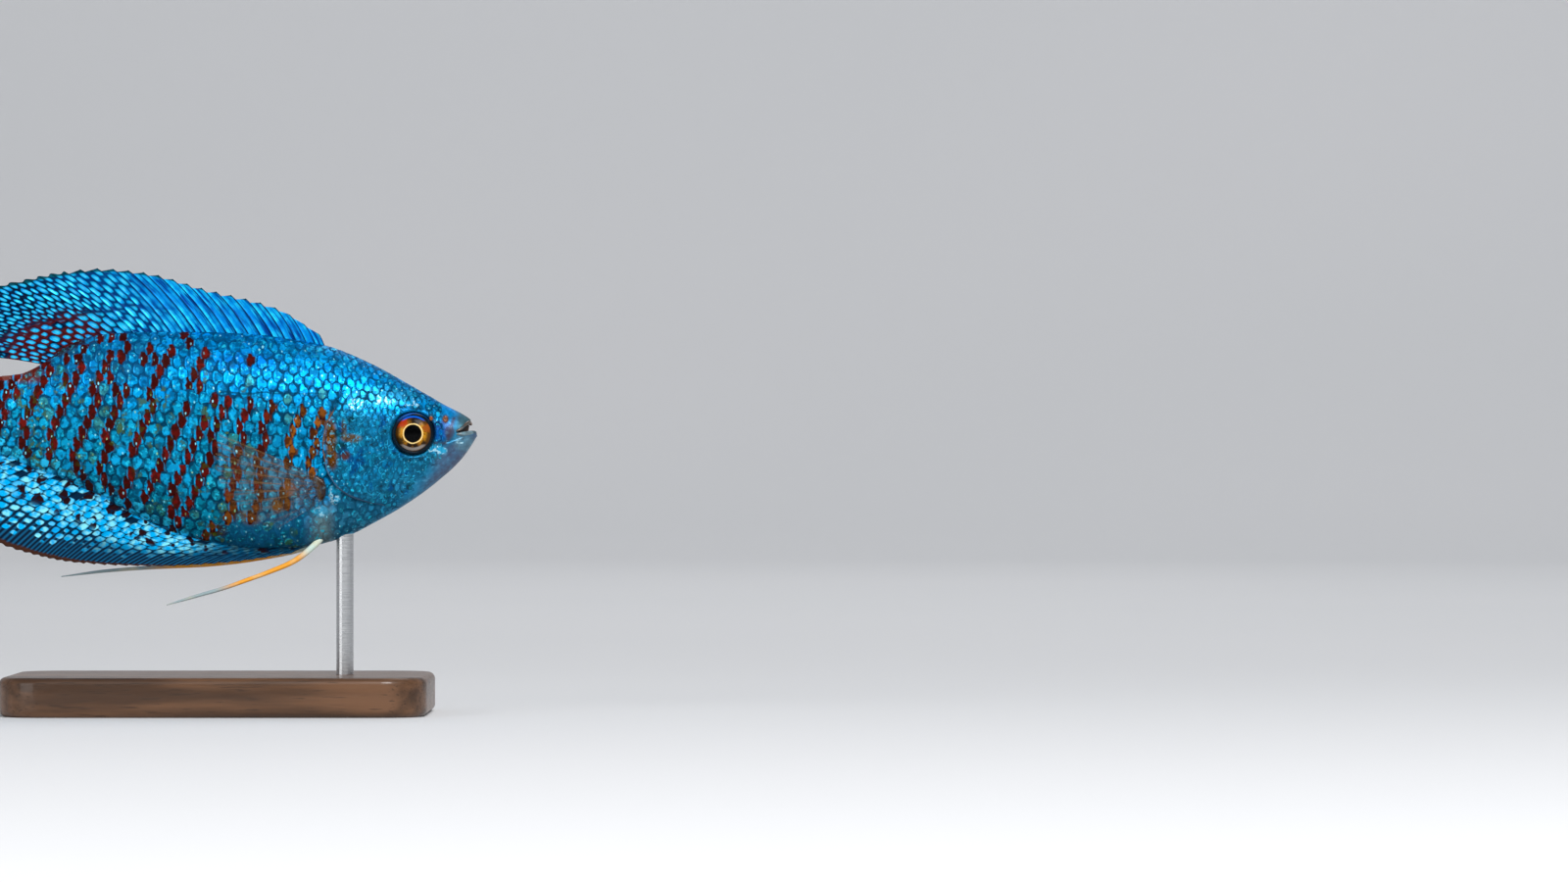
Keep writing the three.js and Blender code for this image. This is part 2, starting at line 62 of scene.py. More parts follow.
# Outline of the body in side view, as (x, z) from the tail root to the snout
TAIL_ROOT_X = -23.4
SNOUT_X = 39.85
BACK_LINE = (
    (-23.4, 42.9), (-21, 43.2), (-18.5, 43.5), (-16, 44.6), (-13, 46.7), (-9.5, 48.3), (-5, 48.8),
    (3, 48.9), (10, 48.7), (16, 48.0), (21, 47.0), (26, 45.0), (31.5, 42.0), (36, 39.4),
    (38.3, 38.1), (39.1, 37.5), (39.6, 36.75), (SNOUT_X, 35.5),
)
BELLY_LINE = (
    (-23.4, 33.3), (-21, 32.75), (-17.5, 31.4), (-14, 30.1), (-8.75, 27.75), (-2.5, 24.4), (2, 22.6),
    (7, 21.4), (13, 20.85), (18, 21.1), (22.5, 22.1), (27, 24.25), (31.5, 26.9), (36, 30.4),
    (38, 32.5), (39.2, 34.2), (SNOUT_X, 35.3),
)
MIDDLE_LINE = (
    (-23.4, 38.1), (-10, 38.5), (0, 37.6), (10, 36.6), (20, 35.8), (28, 35.2), (34, 35.1),
    (SNOUT_X, 35.35),
)
HALF_WIDTH = (
    (-23.4, 0.9), (-20, 1.9), (-15, 3.0), (-8, 4.2), (0, 5.0), (8, 5.45), (16, 5.5), (22, 5.3),
    (27, 4.75), (31.5, 3.95), (35, 3.1), (37.5, 2.35), (39, 1.6), (39.6, 0.95), (SNOUT_X, 0.25),
)
BACK_KEEL = ((-23.4, 0.55), (-5, 0.64), (18, 0.6), (28, 0.48), (SNOUT_X, 0.46))
BELLY_KEEL = ((-23.4, 0.55), (-5, 0.7), (12, 0.62), (20, 0.5), (SNOUT_X, 0.48))

# Rear edge of the gill cover, as (z, x) from below upwards
GILL_EDGE = (
    (22.5, 32.4), (26.0, 30.6), (26.5, 28.5), (26.95, 26.2), (27.9, 23.6), (29.4, 21.9), (31.4, 20.9),
    (34.1, 20.5), (36.8, 20.9), (39.3, 22.2), (42.6, 23.7), (46, 24.4), (52, 24.6),
)
GILL_RISE = 0.42

# Eye, nostrils and mouth in side view
EYE_X = 31.87
EYE_Z = 35.7
EYE_RADIUS = 2.6
NOSTRILS = ((35.9, 37.5, 0.3), (34.1, 37.6, 0.2))
GAPE = (
    (37.2, 35.8), (37.9, 36.15), (38.5, 36.75), (38.8, 37.15), (39.0, 37.3), (39.02, 38.2), (41, 38.2),
    (41, 36.0), (39.5, 35.98), (38.3, 35.85),
)
MOUTH_FLOOR = ((37.1, 35.7), (37.9, 36.25), (38.5, 36.85), (38.72, 37.2), (38.86, 36.6), (38.7, 35.8))

# Rays of each fin: number along the fin, foot (x, z) and tip (x, z). Branches of soft rays count too
DORSAL_RAYS = 33
DORSAL_SPINES = 17
DORSAL_KEYS = (
    (0, (20.3, 47.2), (19.7, 48.4)),
    (3, (16.6, 47.9), (14.1, 51.8)),
    (8, (9.1, 48.7), (4.7, 54.3)),
    (12, (3.75, 48.9), (-2.7, 56.3)),
    (15, (-1.0, 48.85), (-8.6, 56.8)),
    (17, (-4.1, 48.8), (-12.8, 56.4)),
    (20, (-7.3, 48.65), (-17.75, 55.4)),
    (23, (-10.25, 48.1), (-23.5, 54.0)),
    (27.5, (-13.9, 46.1), (-29.4, 50.7)),
    (30.5, (-15.5, 45.0), (-29.9, 48.0)),
    (32, (-16.1, 44.6), (-26.6, 45.5)),
)
ANAL_RAYS = 38
ANAL_SPINES = 17
ANAL_KEYS = (
    (0, (17.5, 21.05), (16.1, 20.4)),
    (5, (12.75, 20.9), (8.0, 19.2)),
    (10, (6.75, 21.45), (-0.4, 18.75)),
    (14, (1.5, 22.75), (-6.25, 18.85)),
    (18.4, (-3.5, 24.9), (-12.0, 19.3)),
    (24.2, (-8.75, 27.75), (-18.0, 20.6)),
    (28.4, (-13.5, 29.9), (-23.25, 22.6)),
    (32.7, (-18.25, 31.65), (-28.6, 25.75)),
    (35.6, (-20.9, 32.7), (-30.2, 28.2)),
    (37, (-22.2, 33.1), (-28.4, 30.2)),
)
CAUDAL_RAYS = 16
CAUDAL_KEYS = (
    (0, (-23.75, 42.3), (-33.2, 46.9)),
    (1, (-23.75, 41.7), (-36.4, 48.2)),
    (2, (-23.75, 41.1), (-38.2, 47.3)),
    (4, (-23.75, 39.9), (-39.4, 43.7)),
    (7.5, (-23.75, 38.1), (-39.95, 38.1)),
    (11, (-23.75, 36.3), (-39.4, 32.5)),
    (13, (-23.75, 35.1), (-38.2, 28.9)),
    (14, (-23.75, 34.5), (-36.4, 28.0)),
    (15, (-23.75, 33.9), (-33.2, 29.3)),
)
PECTORAL_RAYS = 11
PECTORAL_KEYS = (
    (0, (20.6, 29.9), (7.3, 35.9)),
    (2, (20.75, 29.4), (6.8, 32.9)),
    (4, (20.85, 28.9), (7.3, 29.8)),
    (6, (20.85, 28.4), (8.9, 26.7)),
    (8, (20.75, 27.8), (11.4, 24.5)),
    (10, (20.5, 27.3), (14.9, 23.6)),
)
PELVIC_RIGHT = (
    (20.4, 1.0, 22.9), (19.2, 1.25, 21.5), (16.5, 1.6, 19.4), (13.5, 1.9, 18.1), (10.5, 2.2, 17.0),
    (7.5, 2.5, 15.95), (4.5, 2.8, 15.1), (0.5, 3.2, 13.9),
)
PELVIC_LEFT = (
    (20.4, 1.0, 22.9), (19.2, 1.25, 21.75), (16.5, 1.6, 20.75), (13.5, 1.8, 20.1), (9, 2.0, 19.35),
    (4.5, 2.2, 18.9), (-1.5, 2.5, 18.6), (-7.5, 2.9, 18.15), (-13.5, 3.3, 17.4),
)

# Red stripes of the flank: x at STRIPE_LEVEL, how far x moves for each step up, top z, bottom z
STRIPE_LEVEL = 36.0
STRIPES = (
    (-21.0, 0.36, 43.0, 35.5), (-17.4, 0.33, 44.9, 32.0), (-13.4, 0.37, 47.2, 30.2),
    (-9.6, 0.34, 46.0, 29.2), (-6.25, 0.2, 41.8, 27.5), (-2.25, 0.31, 46.0, 26.0),
    (2.0, 0.41, 46.6, 24.6), (5.1, 0.39, 40.5, 23.4), (7.5, 0.37, 39.8, 22.2),
    (10.4, 0.33, 39.8, 21.8), (13.5, 0.31, 39.6, 24.4), (17.2, 0.4, 38.8, 25.4),
    (20.0, 0.4, 38.6, 30.0),
)

# Stripes in front of this x stand more upright below STRIPE_LEVEL, and all curl back below STRIPE_CURL
STRIPE_UPRIGHT_X = 9.0
STRIPE_CURL = 25.2

# Rust-coloured blotches under the pectoral fin: x, z, half length and colour
RUST_BLOTCHES = (
    (11.3, 24.9, 1.5, (0.3, 0.12, 0.006)),
    (8.9, 25.4, 1.4, (0.14, 0.03, 0.004)),
    (6.8, 23.4, 1.5, (0.08, 0.012, 0.004)),
    (14.6, 26.6, 1.2, (0.2, 0.07, 0.005)),
)

# Painted highlights of the wet head, as shining patches: x, z, half length, half height and strength
HEAD_HIGHLIGHTS = (
    (34.9, 33.55, 1.35, 0.6, 1.0),
    (37.75, 34.6, 0.5, 0.28, 1.0),
    (24.6, 39.4, 1.5, 0.9, 0.5),
    (28.2, 39.9, 1.7, 0.8, 0.5),
    (31.5, 39.5, 1.6, 0.5, 0.5),
    (21.9, 27.9, 0.9, 1.5, 0.5),
    (20.2, 25.8, 1.2, 0.9, 0.5),
)

SIDES = (("left", 1), ("right", -1))
SEED = 20


def colour_setting(name, description, default):
    return FloatVectorProperty(name=name, description=description, default=default, subtype="COLOR")


def length_setting(name, description, default):
    return FloatProperty(name=name, description=description, default=default, unit="LENGTH")


def power_setting(name, description, default):
    return FloatProperty(name=name, description=description, default=default, unit="POWER")


class GouramiBody(PropertyGroup):
    """Sizes and colours of the skin and scales."""

    coat_depth: length_setting("Coat depth", "How far the skin lies under the scales", 0.00022)
    scale_pitch: length_setting("Scale pitch", "From one scale to the next along its row", 0.00144)
    row_pitch: length_setting("Row pitch", "From one row of scales to the next", 0.00152)
    azure: colour_setting("Azure", "Scales of the back", (0.0, 0.31, 0.84))
    cyan: colour_setting("Cyan", "Scales of the flank", (0.005, 0.42, 0.8))
    teal: colour_setting("Teal", "Skin between the scales", (0.0, 0.04, 0.09))
    deep: colour_setting("Deep blue", "Lower belly", (0.005, 0.12, 0.27))
    silver: colour_setting("Silver", "Chest and throat", (0.19, 0.33, 0.39))
    red: colour_setting("Stripe red", "Spots of the stripes", (0.12, 0.006, 0.004))
    orange: colour_setting("Stripe orange", "Spots near the gill cover", (0.24, 0.075, 0.008))
    olive: colour_setting("Olive", "Single scales of the flank", (0.05, 0.17, 0.05))


class GouramiFins(PropertyGroup):
    """Sizes and colours of the fins."""

    membrane: length_setting("Membrane", "Half of a membrane's thickness", 0.00009)
    ray_root: length_setting("Ray root", "Half of a ray's thickness at its root", 0.0003)
    ray_tip: length_setting("Ray tip", "Half of a ray's thickness at its tip", 0.00013)
    rows: IntProperty(name="Rows", description="Steps along each ray", default=44, min=8)
    dash: colour_setting("Dash", "Pale dashes of the fins", (0.01, 0.5, 0.85))
    night: colour_setting("Night", "Dark ground of the soft fins", (0.0005, 0.004, 0.014))
    maroon: colour_setting("Maroon", "Dark red at the dorsal fin's root", (0.07, 0.006, 0.008))
    margin: colour_setting("Margin", "Edge of the anal fin", (0.055, 0.02, 0.012))
    thread: colour_setting("Thread", "Pelvic threads", (0.85, 0.36, 0.03))


class GouramiEyes(PropertyGroup):
    """Sizes and colours of the eyes."""

    pupil: length_setting("Pupil", "Radius of the pupil", 0.00112)
    iris: length_setting("Iris", "Radius of the iris", 0.00222)
    gold: colour_setting("Gold", "Sides of the iris", (0.66, 0.29, 0.01))
    brown: colour_setting("Brown", "Outer part of the iris", (0.08, 0.032, 0.005))


class GouramiStand(PropertyGroup):
    """Looks of the display stand."""

    walnut: colour_setting("Walnut", "Light bands of the wood", (0.16, 0.075, 0.035))
    bevel: length_setting("Bevel", "Rounding of the base", 0.0009)


class GouramiStudio(PropertyGroup):
    """Camera and light."""

    distance: length_setting("Camera distance", "From the camera to the fish", 1.0)
    field: length_setting("Field", "Width of the view at the fish", 0.2)
    key_power: power_setting("Key light", "Power of the main light", 10.5)
    fill_power: power_setting("Fill light", "Power of the fill light", 3.0)
    wall_power: power_setting("Wall light", "Power of the wall's light", 6.0)


# Curves and surfaces of the body


def smooth_line(points):
    """A smooth value through a short list of (place, value) points, with no overshoot between them."""
    xs, ys = np.array(points, float).T
    slopes = np.diff(ys) / np.diff(xs)
    before, after = slopes[:-1], slopes[1:]
    turning = before * after <= 0
    total = np.where(turning, 1.0, before + after)
    inner = np.where(turning, 0.0, 2 * before * after / total)
    tangents = np.concatenate([slopes[:1], inner, slopes[-1:]])

    def value(x):
        x = np.asarray(x, float)
        i = np.clip(np.searchsorted(xs, x, side="right") - 1, 0, len(xs) - 2)
        h = xs[i + 1] - xs[i]
        t = np.clip((x - xs[i]) / h, 0, 1)
        start = (2 * t**3 - 3 * t**2 + 1) * ys[i] + (t**3 - 2 * t**2 + t) * h * tangents[i]
        end = (3 * t**2 - 2 * t**3) * ys[i + 1] + (t**3 - t**2) * h * tangents[i + 1]
        return start + end

    return value


def ease(value, low, high):
    """0 up to low, 1 from high, and smooth between them."""
    t = np.clip((np.asarray(value, float) - low) / (high - low), 0, 1)
    return t * t * (3 - 2 * t)


back_at = smooth_line(BACK_LINE)
belly_at = smooth_line(BELLY_LINE)
middle_at = smooth_line(MIDDLE_LINE)
half_width_at = smooth_line(HALF_WIDTH)
back_keel_at = smooth_line(BACK_KEEL)
belly_keel_at = smooth_line(BELLY_KEEL)
gill_x_at = smooth_line(GILL_EDGE)


def section(x, turn, swell=0.0):
    """Sideways and upright place of the body's section at x, where turn goes round from belly to back."""
    lift = np.sin(turn)
    middle = middle_at(x)
    upper = lift > 0
    reach = np.where(upper, back_at(x) - middle, middle - belly_at(x)) + swell
    keel = np.where(upper, back_keel_at(x), belly_keel_at(x))
    y = (half_width_at(x) + swell) * np.clip(1 - lift**2, 0, 1) ** keel
    return y, middle + lift * reach


def flank_at(x, z):
    """Half width of the body at a place in side view."""
    middle = middle_at(x)
    upper = z > middle
    reach = np.where(upper, back_at(x) - middle, middle - belly_at(x))
    share = np.clip(np.abs(z - middle) / reach, 0, 1)
    keel = np.where(upper, back_keel_at(x), belly_keel_at(x))
    return half_width_at(x) * (1 - share**2) ** keel


def gill_distance(x, z):
    """How far a place in side view lies in front of the gill cover's edge."""
    slope = (gill_x_at(z + 0.1) - gill_x_at(z - 0.1)) / 0.2
    return (x - gill_x_at(z)) / np.sqrt(1 + slope**2)


def bell(away, width):
    """1 where away is 0, falling smoothly towards 0 past the width on both sides."""
    return np.exp(-((away / width) ** 2))


def head_relief(x, z):
    """How far the gill cover, cheek, orbit, jaw and chin stand out of the plain body."""
    front = gill_distance(x, z)
    cover = (1 - ease(x, 22.5, 30)) * ease(-z, -41.5, -38.5) * ease(z, 25.6, 27.6)
    rise = GILL_RISE * cover * ease(front, -0.12, 0.12)
    cheek_bone = np.hypot(x - 31.2, (z - 33.2) / 1.3) - 5.2
    rise = rise - 0.16 * bell(cheek_bone, 0.28) * ease(-x, -31, -28) * ease(-z, -38, -35)
    rise = rise - 0.13 * bell(front - 1.15, 0.16) * ease(-z, -31.5, -30) * ease(x, 21.5, 23)
    eye = np.hypot(x - EYE_X, z - EYE_Z)
    rise = rise + 0.16 * bell(eye - 3.15, 0.3) - 1.5 * ease(-eye, -2.85, -2.45)
    jaw = (z - 34.9) - (x - 36.9) * 0.35
    rise = rise - 0.14 * bell(jaw, 0.13) * ease(x, 35.2, 36.2) * ease(-x, -38.4, -37.6)
    chin = (z - 32.9) - (x - 36.4) * 0.95
    return rise - 0.12 * bell(chin, 0.15) * ease(x, 30.5, 33) * ease(-x, -37.5, -36.5)


class Flank:
    """The body's side, unrolled: x along the fish, and arc up its side from the middle line."""

    # The lowest and the highest arc, and the steps of the table from arc to turn
    lowest, highest = -26, 22
    turn_steps, x_steps, arc_steps = 301, 420, 385

    def __init__(self, swell):
        self.swell = swell
        turns = np.linspace(-math.pi / 2, math.pi / 2, self.turn_steps)
        self.stations = np.linspace(TAIL_ROOT_X, SNOUT_X - 0.02, self.x_steps)
        self.arcs = np.linspace(self.lowest, self.highest, self.arc_steps)
        y, z = section(self.stations[:, None], turns[None, :], swell)
        steps = np.hypot(np.diff(y, axis=1), np.diff(z, axis=1))
        arc = np.concatenate([np.zeros((len(y), 1)), np.cumsum(steps, axis=1)], axis=1)
        arc = arc - arc[:, [len(turns) // 2]]
        self.low, self.high = arc[:, 0], arc[:, -1]
        self.turns = np.array([np.interp(self.arcs, row, turns) for row in arc])

    def limits(self, x):
        """Arc of the belly line and of the back line at x."""
        return np.interp(x, self.stations, self.low), np.interp(x, self.stations, self.high)

    def place(self, x, arc):
        """Points on the left side."""
        stations, arcs = self.stations, self.arcs
        i = np.clip((x - stations[0]) / (stations[1] - stations[0]), 0, len(stations) - 1.001)
        j = np.clip((arc - arcs[0]) / (arcs[1] - arcs[0]), 0, len(arcs) - 1.001)
        i0, j0 = i.astype(int), j.astype(int)
        fi, fj = i - i0, j - j0
        t = self.turns
        front = t[i0 + 1, j0] * (1 - fj) + t[i0 + 1, j0 + 1] * fj
        turn = (t[i0, j0] * (1 - fj) + t[i0, j0 + 1] * fj) * (1 - fi) + front * fi
        y, z = section(x, turn, self.swell)
        return np.stack([x, y + head_relief(x, z) * np.cos(turn) ** 0.5, z], -1)

    def raised(self, x, arc, height):
        """Points on the left side, raised off it."""
        here = self.place(x, arc)
        along = self.place(x + 0.05, arc) - self.place(x - 0.05, arc)
        across = self.place(x, arc + 0.05) - self.place(x, arc - 0.05)
        normal = np.cross(across, along)
        normal = normal / np.maximum(np.linalg.norm(normal, axis=-1, keepdims=True), 1e-9)
        normal = normal * np.where(normal[..., 1:2] < 0, -1, 1)
        return here + normal * np.asarray(height)[..., None]


# Markings of skin and scales, and painted highlights of the wet head, worked out from the place in side
# view


def blend(first, second, share):
    """Colours mixed by a share for each place."""
    share = np.clip(np.asarray(share, float), 0, 1)[..., None]
    return np.asarray(first) * (1 - share) + np.asarray(second) * share


def stripe_offset(x, z):
    """How far along x the nearest stripe's middle is, or far off where none reaches this height."""
    far = 99.0
    nearest = np.full(np.shape(x), far)
    rise = z - STRIPE_LEVEL
    for at, lean, top, bottom in STRIPES:
        below = 0.4 if at > STRIPE_UPRIGHT_X else 1.0
        line = at + lean * np.where(rise > 0, rise, below * rise) - 1.3 * np.maximum(0, STRIPE_CURL - z)
        off = np.where((z < top) & (z > bottom), x - line, far)
        nearest = np.where(np.abs(off) < np.abs(nearest), off, nearest)
    return nearest


def patch(x, z, at_x, at_z, wide, tall):
    """1 in the middle of an oval patch, falling smoothly to 0 at its edge."""
    return 1 - ease(np.hypot((x - at_x) / wide, (z - at_z) / tall), 0.55, 1.15)


def highlight_share(x, z):
    """1 where painted highlights make the wet head shine most: under the eye and on the lower jaw."""
    # Painted highlights: the strongest of the shining patches at each place
    highlight = np.zeros(np.shape(x))
    for at_x, at_z, wide, tall, strength in HEAD_HIGHLIGHTS:
        highlight = np.maximum(highlight, strength * patch(x, z, at_x, at_z, wide, tall))
    return highlight


def cheek_top(x):
    """Height up to which the cheek and gill cover carry small scales."""
    return 41.2 - (x - 21.5) * 0.34


def face_share(x, z):
    """1 on the cheek and gill cover, where fine streaks take the place of clear scale outlines."""
    chin = ease(z - belly_at(x) - 1.6 * ease(x, 30, 34), 0.3, 1.6)
    snout = ease(-x, -35.8, -34.8)
    return ease(gill_distance(x, z), 0.9, 1.8) * ease(cheek_top(x) - z, -0.4, 1.2) * snout * chin


class Ground:
    """Pale and dark colours at each place of the skin or scales, over which tints are laid."""

    def __init__(self, pale, dark):
        self.pale = pale
        self.dark = dark

    def tint(self, share, pale=None, dark=None, strength=1.0):
        """Lays tints over the pale and the dark colours. strength weakens the pale one alone."""
        if pale is not None:
            self.pale = blend(self.pale, pale, strength * share)
        if dark is not None:
            self.dark = blend(self.dark, dark, share)


def tint_flank(ground, x, z, body, chance):
    """The deep blue patch of the back, the lower flank, belly and chest, and the rust blotches."""
    cyan, deep, silver = np.array(body.cyan), np.array(body.deep), np.array(body.silver)
    above_belly = z - belly_at(x)
    back = ease(-np.hypot((x - 10.5) / 4.5, (z - 44.8) / 1.6), -1.2, -0.5)
    ground.tint(back, (0.0, 0.1, 0.5), None, 0.7)
    ground.tint(ease(-z, -33, -27) * ease(-x, -16, -5), cyan * 0.62 + (0.0, 0.02, 0.0), None, 0.8)
    ground.tint(ease(-above_belly, -5.5, -3.0) * ease(x, 6, 10), deep * 1.15, deep * 0.75)
    chest = ease(-above_belly, -6.5, -3.0) * ease(x, 17.5, 20.5)
    ground.tint(chest, silver, silver * 0.45, 1 - 0.6 * ease(x, 23, 27))
    pectoral = ease(-np.hypot((x - 12.5) / 6.5, (z - 28) / 5.0), -1.15, -0.6)
    ground.tint(pectoral, (0.03, 0.2, 0.3), None, 0.6)
    for at_x, at_z, wide, rust in RUST_BLOTCHES:
        share = patch(x, z, at_x, at_z, wide, 1.0) * (0.5 + 0.5 * ease(chance, 0.15, 0.45))
        ground.tint(share, rust, np.array(rust) * 0.4)


def tint_head(ground, x, z):
    """The dim blue head with a painted highlight on its nape, grey jaws, blue snout and the mauve crease
    by the mouth.
    """
    fall = (x - 22) * 0.12
    head = ease(x, 20.5, 22.5) * ease(-z, fall - 41, fall - 37.6)
    ground.tint(head, (0.006, 0.22, 0.42), (0.004, 0.07, 0.14), 0.85)
    # Painted highlight: a lighter cyan sheen over the nape
    nape = ease(-np.hypot((x - 28) / 4.5, (z - 40.4) / 1.2), -1.3, -0.5)
    ground.tint(nape, (0.06, 0.56, 0.85), None, 0.5)
    above_belly = z - belly_at(x)
    lip = ease(x, 33.5, 35.5) * ease(34.6 - z, -0.4, 0.5) * ease(-above_belly, -4.6, -2.4)
    jaw = ease(-above_belly, -2.6, -0.8) * ease(x, 31, 35.5)
    ground.tint(np.maximum(lip * 0.8, jaw), (0.085, 0.14, 0.23), (0.065, 0.045, 0.08), 0.9)
    ground.tint(patch(x, z, 35.3, 36.6, 1.5, 0.9), (0.015, 0.1, 0.36))
    ground.tint(patch(x, z, 35.15, 35.5, 1.05, 0.95), (0.002, 0.16, 0.6))
    ground.tint(patch(x, z, 35.4, 36.1, 1.7, 1.6), None, (0.004, 0.03, 0.12))
    upper_jaw = ease(x, 36.5, 38.0) * ease(z, 35.6, 36.0)
    ground.tint(upper_jaw, (0.055, 0.13, 0.15), (0.04, 0.05, 0.045), 0.9)
    crease_x = np.interp(z, (34.4, 34.8, 36.0, 37.6, 38.0), (35.6, 36.25, 36.5, 36.95, 37.1))
    upright = bell(x - crease_x, 0.28) * ease(z, 34.2, 34.7) * ease(-z, -38.0, -37.6)
    level = bell(z - 34.45, 0.2) * ease(x, 34.2, 34.6) * ease(-x, -36.3, -35.9)
    crease = np.maximum(upright, level)
    ground.tint(0.85 * crease, (0.06, 0.05, 0.085))
    ground.tint(0.9 * crease, None, (0.035, 0.022, 0.035))
    ground.tint(0.8 * patch(x, z, 36.45, 35.9, 0.75, 1.0), (0.05, 0.055, 0.095), (0.05, 0.02, 0.02))
    ground.tint(0.85 * patch(x, z, 38.3, 34.5, 1.5, 1.3), (0.1, 0.22, 0.3), (0.06, 0.1, 0.14))
    for at_x, at_z, _ in NOSTRILS:
        ground.tint(patch(x, z, at_x, at_z, 0.6, 0.75), (0.03, 0.035, 0.05), None, 0.85)


def tint_gill_cover(ground, x, z):
    """Orange along the gill cover's rear edge, and brown, red and teal marks in front of it."""
    marks = (
        (patch(x, z, 21.5, 35.2, 0.85, 2.7) + patch(x, z, 21.7, 32.6, 0.8, 1.7), (0.19, 0.062, 0.004)),
        (0.9 * patch(x, z, 24.1, 35.1, 1.4, 0.6), (0.24, 0.1, 0.012)),
        (0.8 * patch(x, z, 23.1, 36.2, 0.45, 1.4), (0.14, 0.06, 0.012)),
        (0.9 * patch(x, z, 23.3, 32.9, 0.75, 0.7), (0.14, 0.028, 0.004)),
        (0.9 * patch(x, z, 22.7, 33.9, 0.95, 0.95), (0.004, 0.045, 0.055)),
        (0.9 * patch(x, z, 22.4, 35.8, 0.6, 0.6), (0.004, 0.045, 0.055)),
        (0.8 * patch(x, z, 24.0, 37.5, 0.5, 0.5), (0.004, 0.05, 0.06)),
    )
    for share, tint in marks:
        ground.tint(share, tint, np.array(tint) * 0.35)


def ground_colours(x, z, body, chance):
    """Pale and dark colours of the skin and scales. chance is one random number for each scale."""
    azure, cyan, teal = np.array(body.azure), np.array(body.cyan), np.array(body.teal)
    flank = ease(-z, -42, -37) * ease(-x, -26, -12) * 0.8 + 0.2 * chance
    back_teal = teal * 1.2 + (0, 0.01, 0.05)
    ground = Ground(blend(azure, cyan, flank), blend(back_teal, teal, ease(-z, -43, -38)))
    tint_flank(ground, x, z, body, chance)
    tint_head(ground, x, z)
    tint_gill_cover(ground, x, z)
    stalk_top = ease(z, 41.9, 42.6) * ease(-x, 14.5, 16.5)
    ground.tint(stalk_top, (0.3, 0.035, 0.01), (0.12, 0.01, 0.005))
    murk = ease(z, 41, 44) * ease(-x, -3, 6) * (0.25 + 0.6 * ease(chance, 0.3, 0.6))
    ground.tint(murk, (0.02, 0.14, 0.2), None, 0.7)
    ridge = ease(z - back_at(x), -1.5, -0.5) * ease(-x, 7, 10) * ease(x, -17, -15)
    ground.tint(ridge, (0.05, 0.006, 0.008), (0.02, 0.004, 0.006), chance > 0.45)
    return ground.pale, ground.dark


def scaled(x, z):
    """0 where the scales end, at the eye, snout and jaws, and 1 well inside their field."""
    eye = ease(np.hypot(x - EYE_X, z - EYE_Z), 2.75, 3.9)
    snout_end = 36.2 + 1.2 * ease(z, 38.5, 40)
    snout = ease(snout_end - (x + 0.75 * (z - 38.5)), 0, 1.6) * ease(-x, -36.4, -35)
    jaw = ease(z - belly_at(x) - 0.3 - 2.0 * ease(x, 28, 34), 0, 1.4)
    far_from_jaw = ease(z, 36, 38) + ease(-x, -26, -24)
    return eye * snout * np.maximum(jaw, far_from_jaw).clip(0, 1)


def stripe_colours(x, z, body):
    """Colour of a stripe's spot: dark red, and orange-brown towards the gill cover."""
    orange = ease(x, 12.5, 16.5) * 0.9 + ease(x, 4, 7.5) * ease(-z, -29, -26) * 0.8
    return blend(np.array(body.red), np.array(body.orange), orange)


# Meshes


def grid_faces(rows, columns, close=False):
    """Quads of a grid of points kept row by row. With close, its last column joins its first."""
    i, j = np.meshgrid(np.arange(rows - 1), np.arange(columns if close else columns - 1), indexing="ij")
    here, right = i * columns + j, i * columns + (j + 1) % columns
    return np.stack([here, here + columns, right + columns, right], -1).reshape(-1, 4)


def make_object(name, points, faces, finish, smooth=True, closed=True):
    """A mesh object from points in millimetres. The faces of a closed one are turned outwards."""
    mesh = bpy.data.meshes.new(name)
    mesh.from_pydata((np.asarray(points) * MM).tolist(), [], [tuple(face) for face in faces])
    mesh.materials.append(finish)
    if smooth:
        mesh.shade_smooth()
    if closed:
        work = bmesh.new()
        work.from_mesh(mesh)
        bmesh.ops.recalc_face_normals(work, faces=work.faces)
        work.to_mesh(mesh)
        work.free()
    made = bpy.data.objects.new(name, mesh)
    bpy.context.scene.collection.objects.link(made)
    return made


def paint(made, name, values):
    """Keeps three numbers for each point of a mesh, for its finish to read."""
    layer = made.data.attributes.new(name, "FLOAT_VECTOR", "POINT")
    layer.data.foreach_set("vector", np.asarray(values, np.float32).ravel())


def paint_face(made, x, z):
    """Keeps the shares of the streaks and of the painted wet highlights for each point."""
    paint(made, "face", np.stack([face_share(x, z), highlight_share(x, z), np.zeros(len(x))], -1))


def unwrap(made, places):
    """Gives a mesh its OFBake map from one flat place for each point."""
    layer = made.data.uv_layers.new(name="OFBake")
    corners = np.empty(len(made.data.loops), int)
    made.data.loops.foreach_get("vertex_index", corners)
    layer.data.foreach_set("uv", np.asarray(places, np.float32)[corners].ravel())


def circle(x, z, radius, count, tall=1.0):
    """Places round a circle or an upright oval in side view."""
    turns = np.linspace(0, 2 * math.pi, count, endpoint=False)
    return [(x + radius * math.cos(a), z + radius * math.sin(a) * tall) for a in turns]


def tube(name, line, radii, sides, finish):
    """A tube along a line of points, closed at both ends."""
    line = np.asarray(line, float)
    along = np.gradient(line, axis=0)
    along /= np.linalg.norm(along, axis=1, keepdims=True)
    start = np.cross(along[0], (0.0, 0.0, 1.0))
    if np.linalg.norm(start) < 0.2:
        start = np.cross(along[0], (0.0, 1.0, 0.0))
    first = [start]
    for way in along[1:]:
        first.append(first[-1] - way * np.dot(first[-1], way))
    first = np.array(first)
    first /= np.linalg.norm(first, axis=1, keepdims=True)
    second = np.cross(along, first)
    turns = np.linspace(0, 2 * math.pi, sides, endpoint=False)[None, :, None]
    ring = np.cos(turns) * first[:, None] + np.sin(turns) * second[:, None]
    points = (line[:, None] + ring * np.asarray(radii)[:, None, None]).reshape(-1, 3)
    ends = [range(sides)[::-1], range(len(points) - sides, len(points))]
    return make_object(name, points, [*grid_faces(len(line), sides, close=True), *ends], finish)


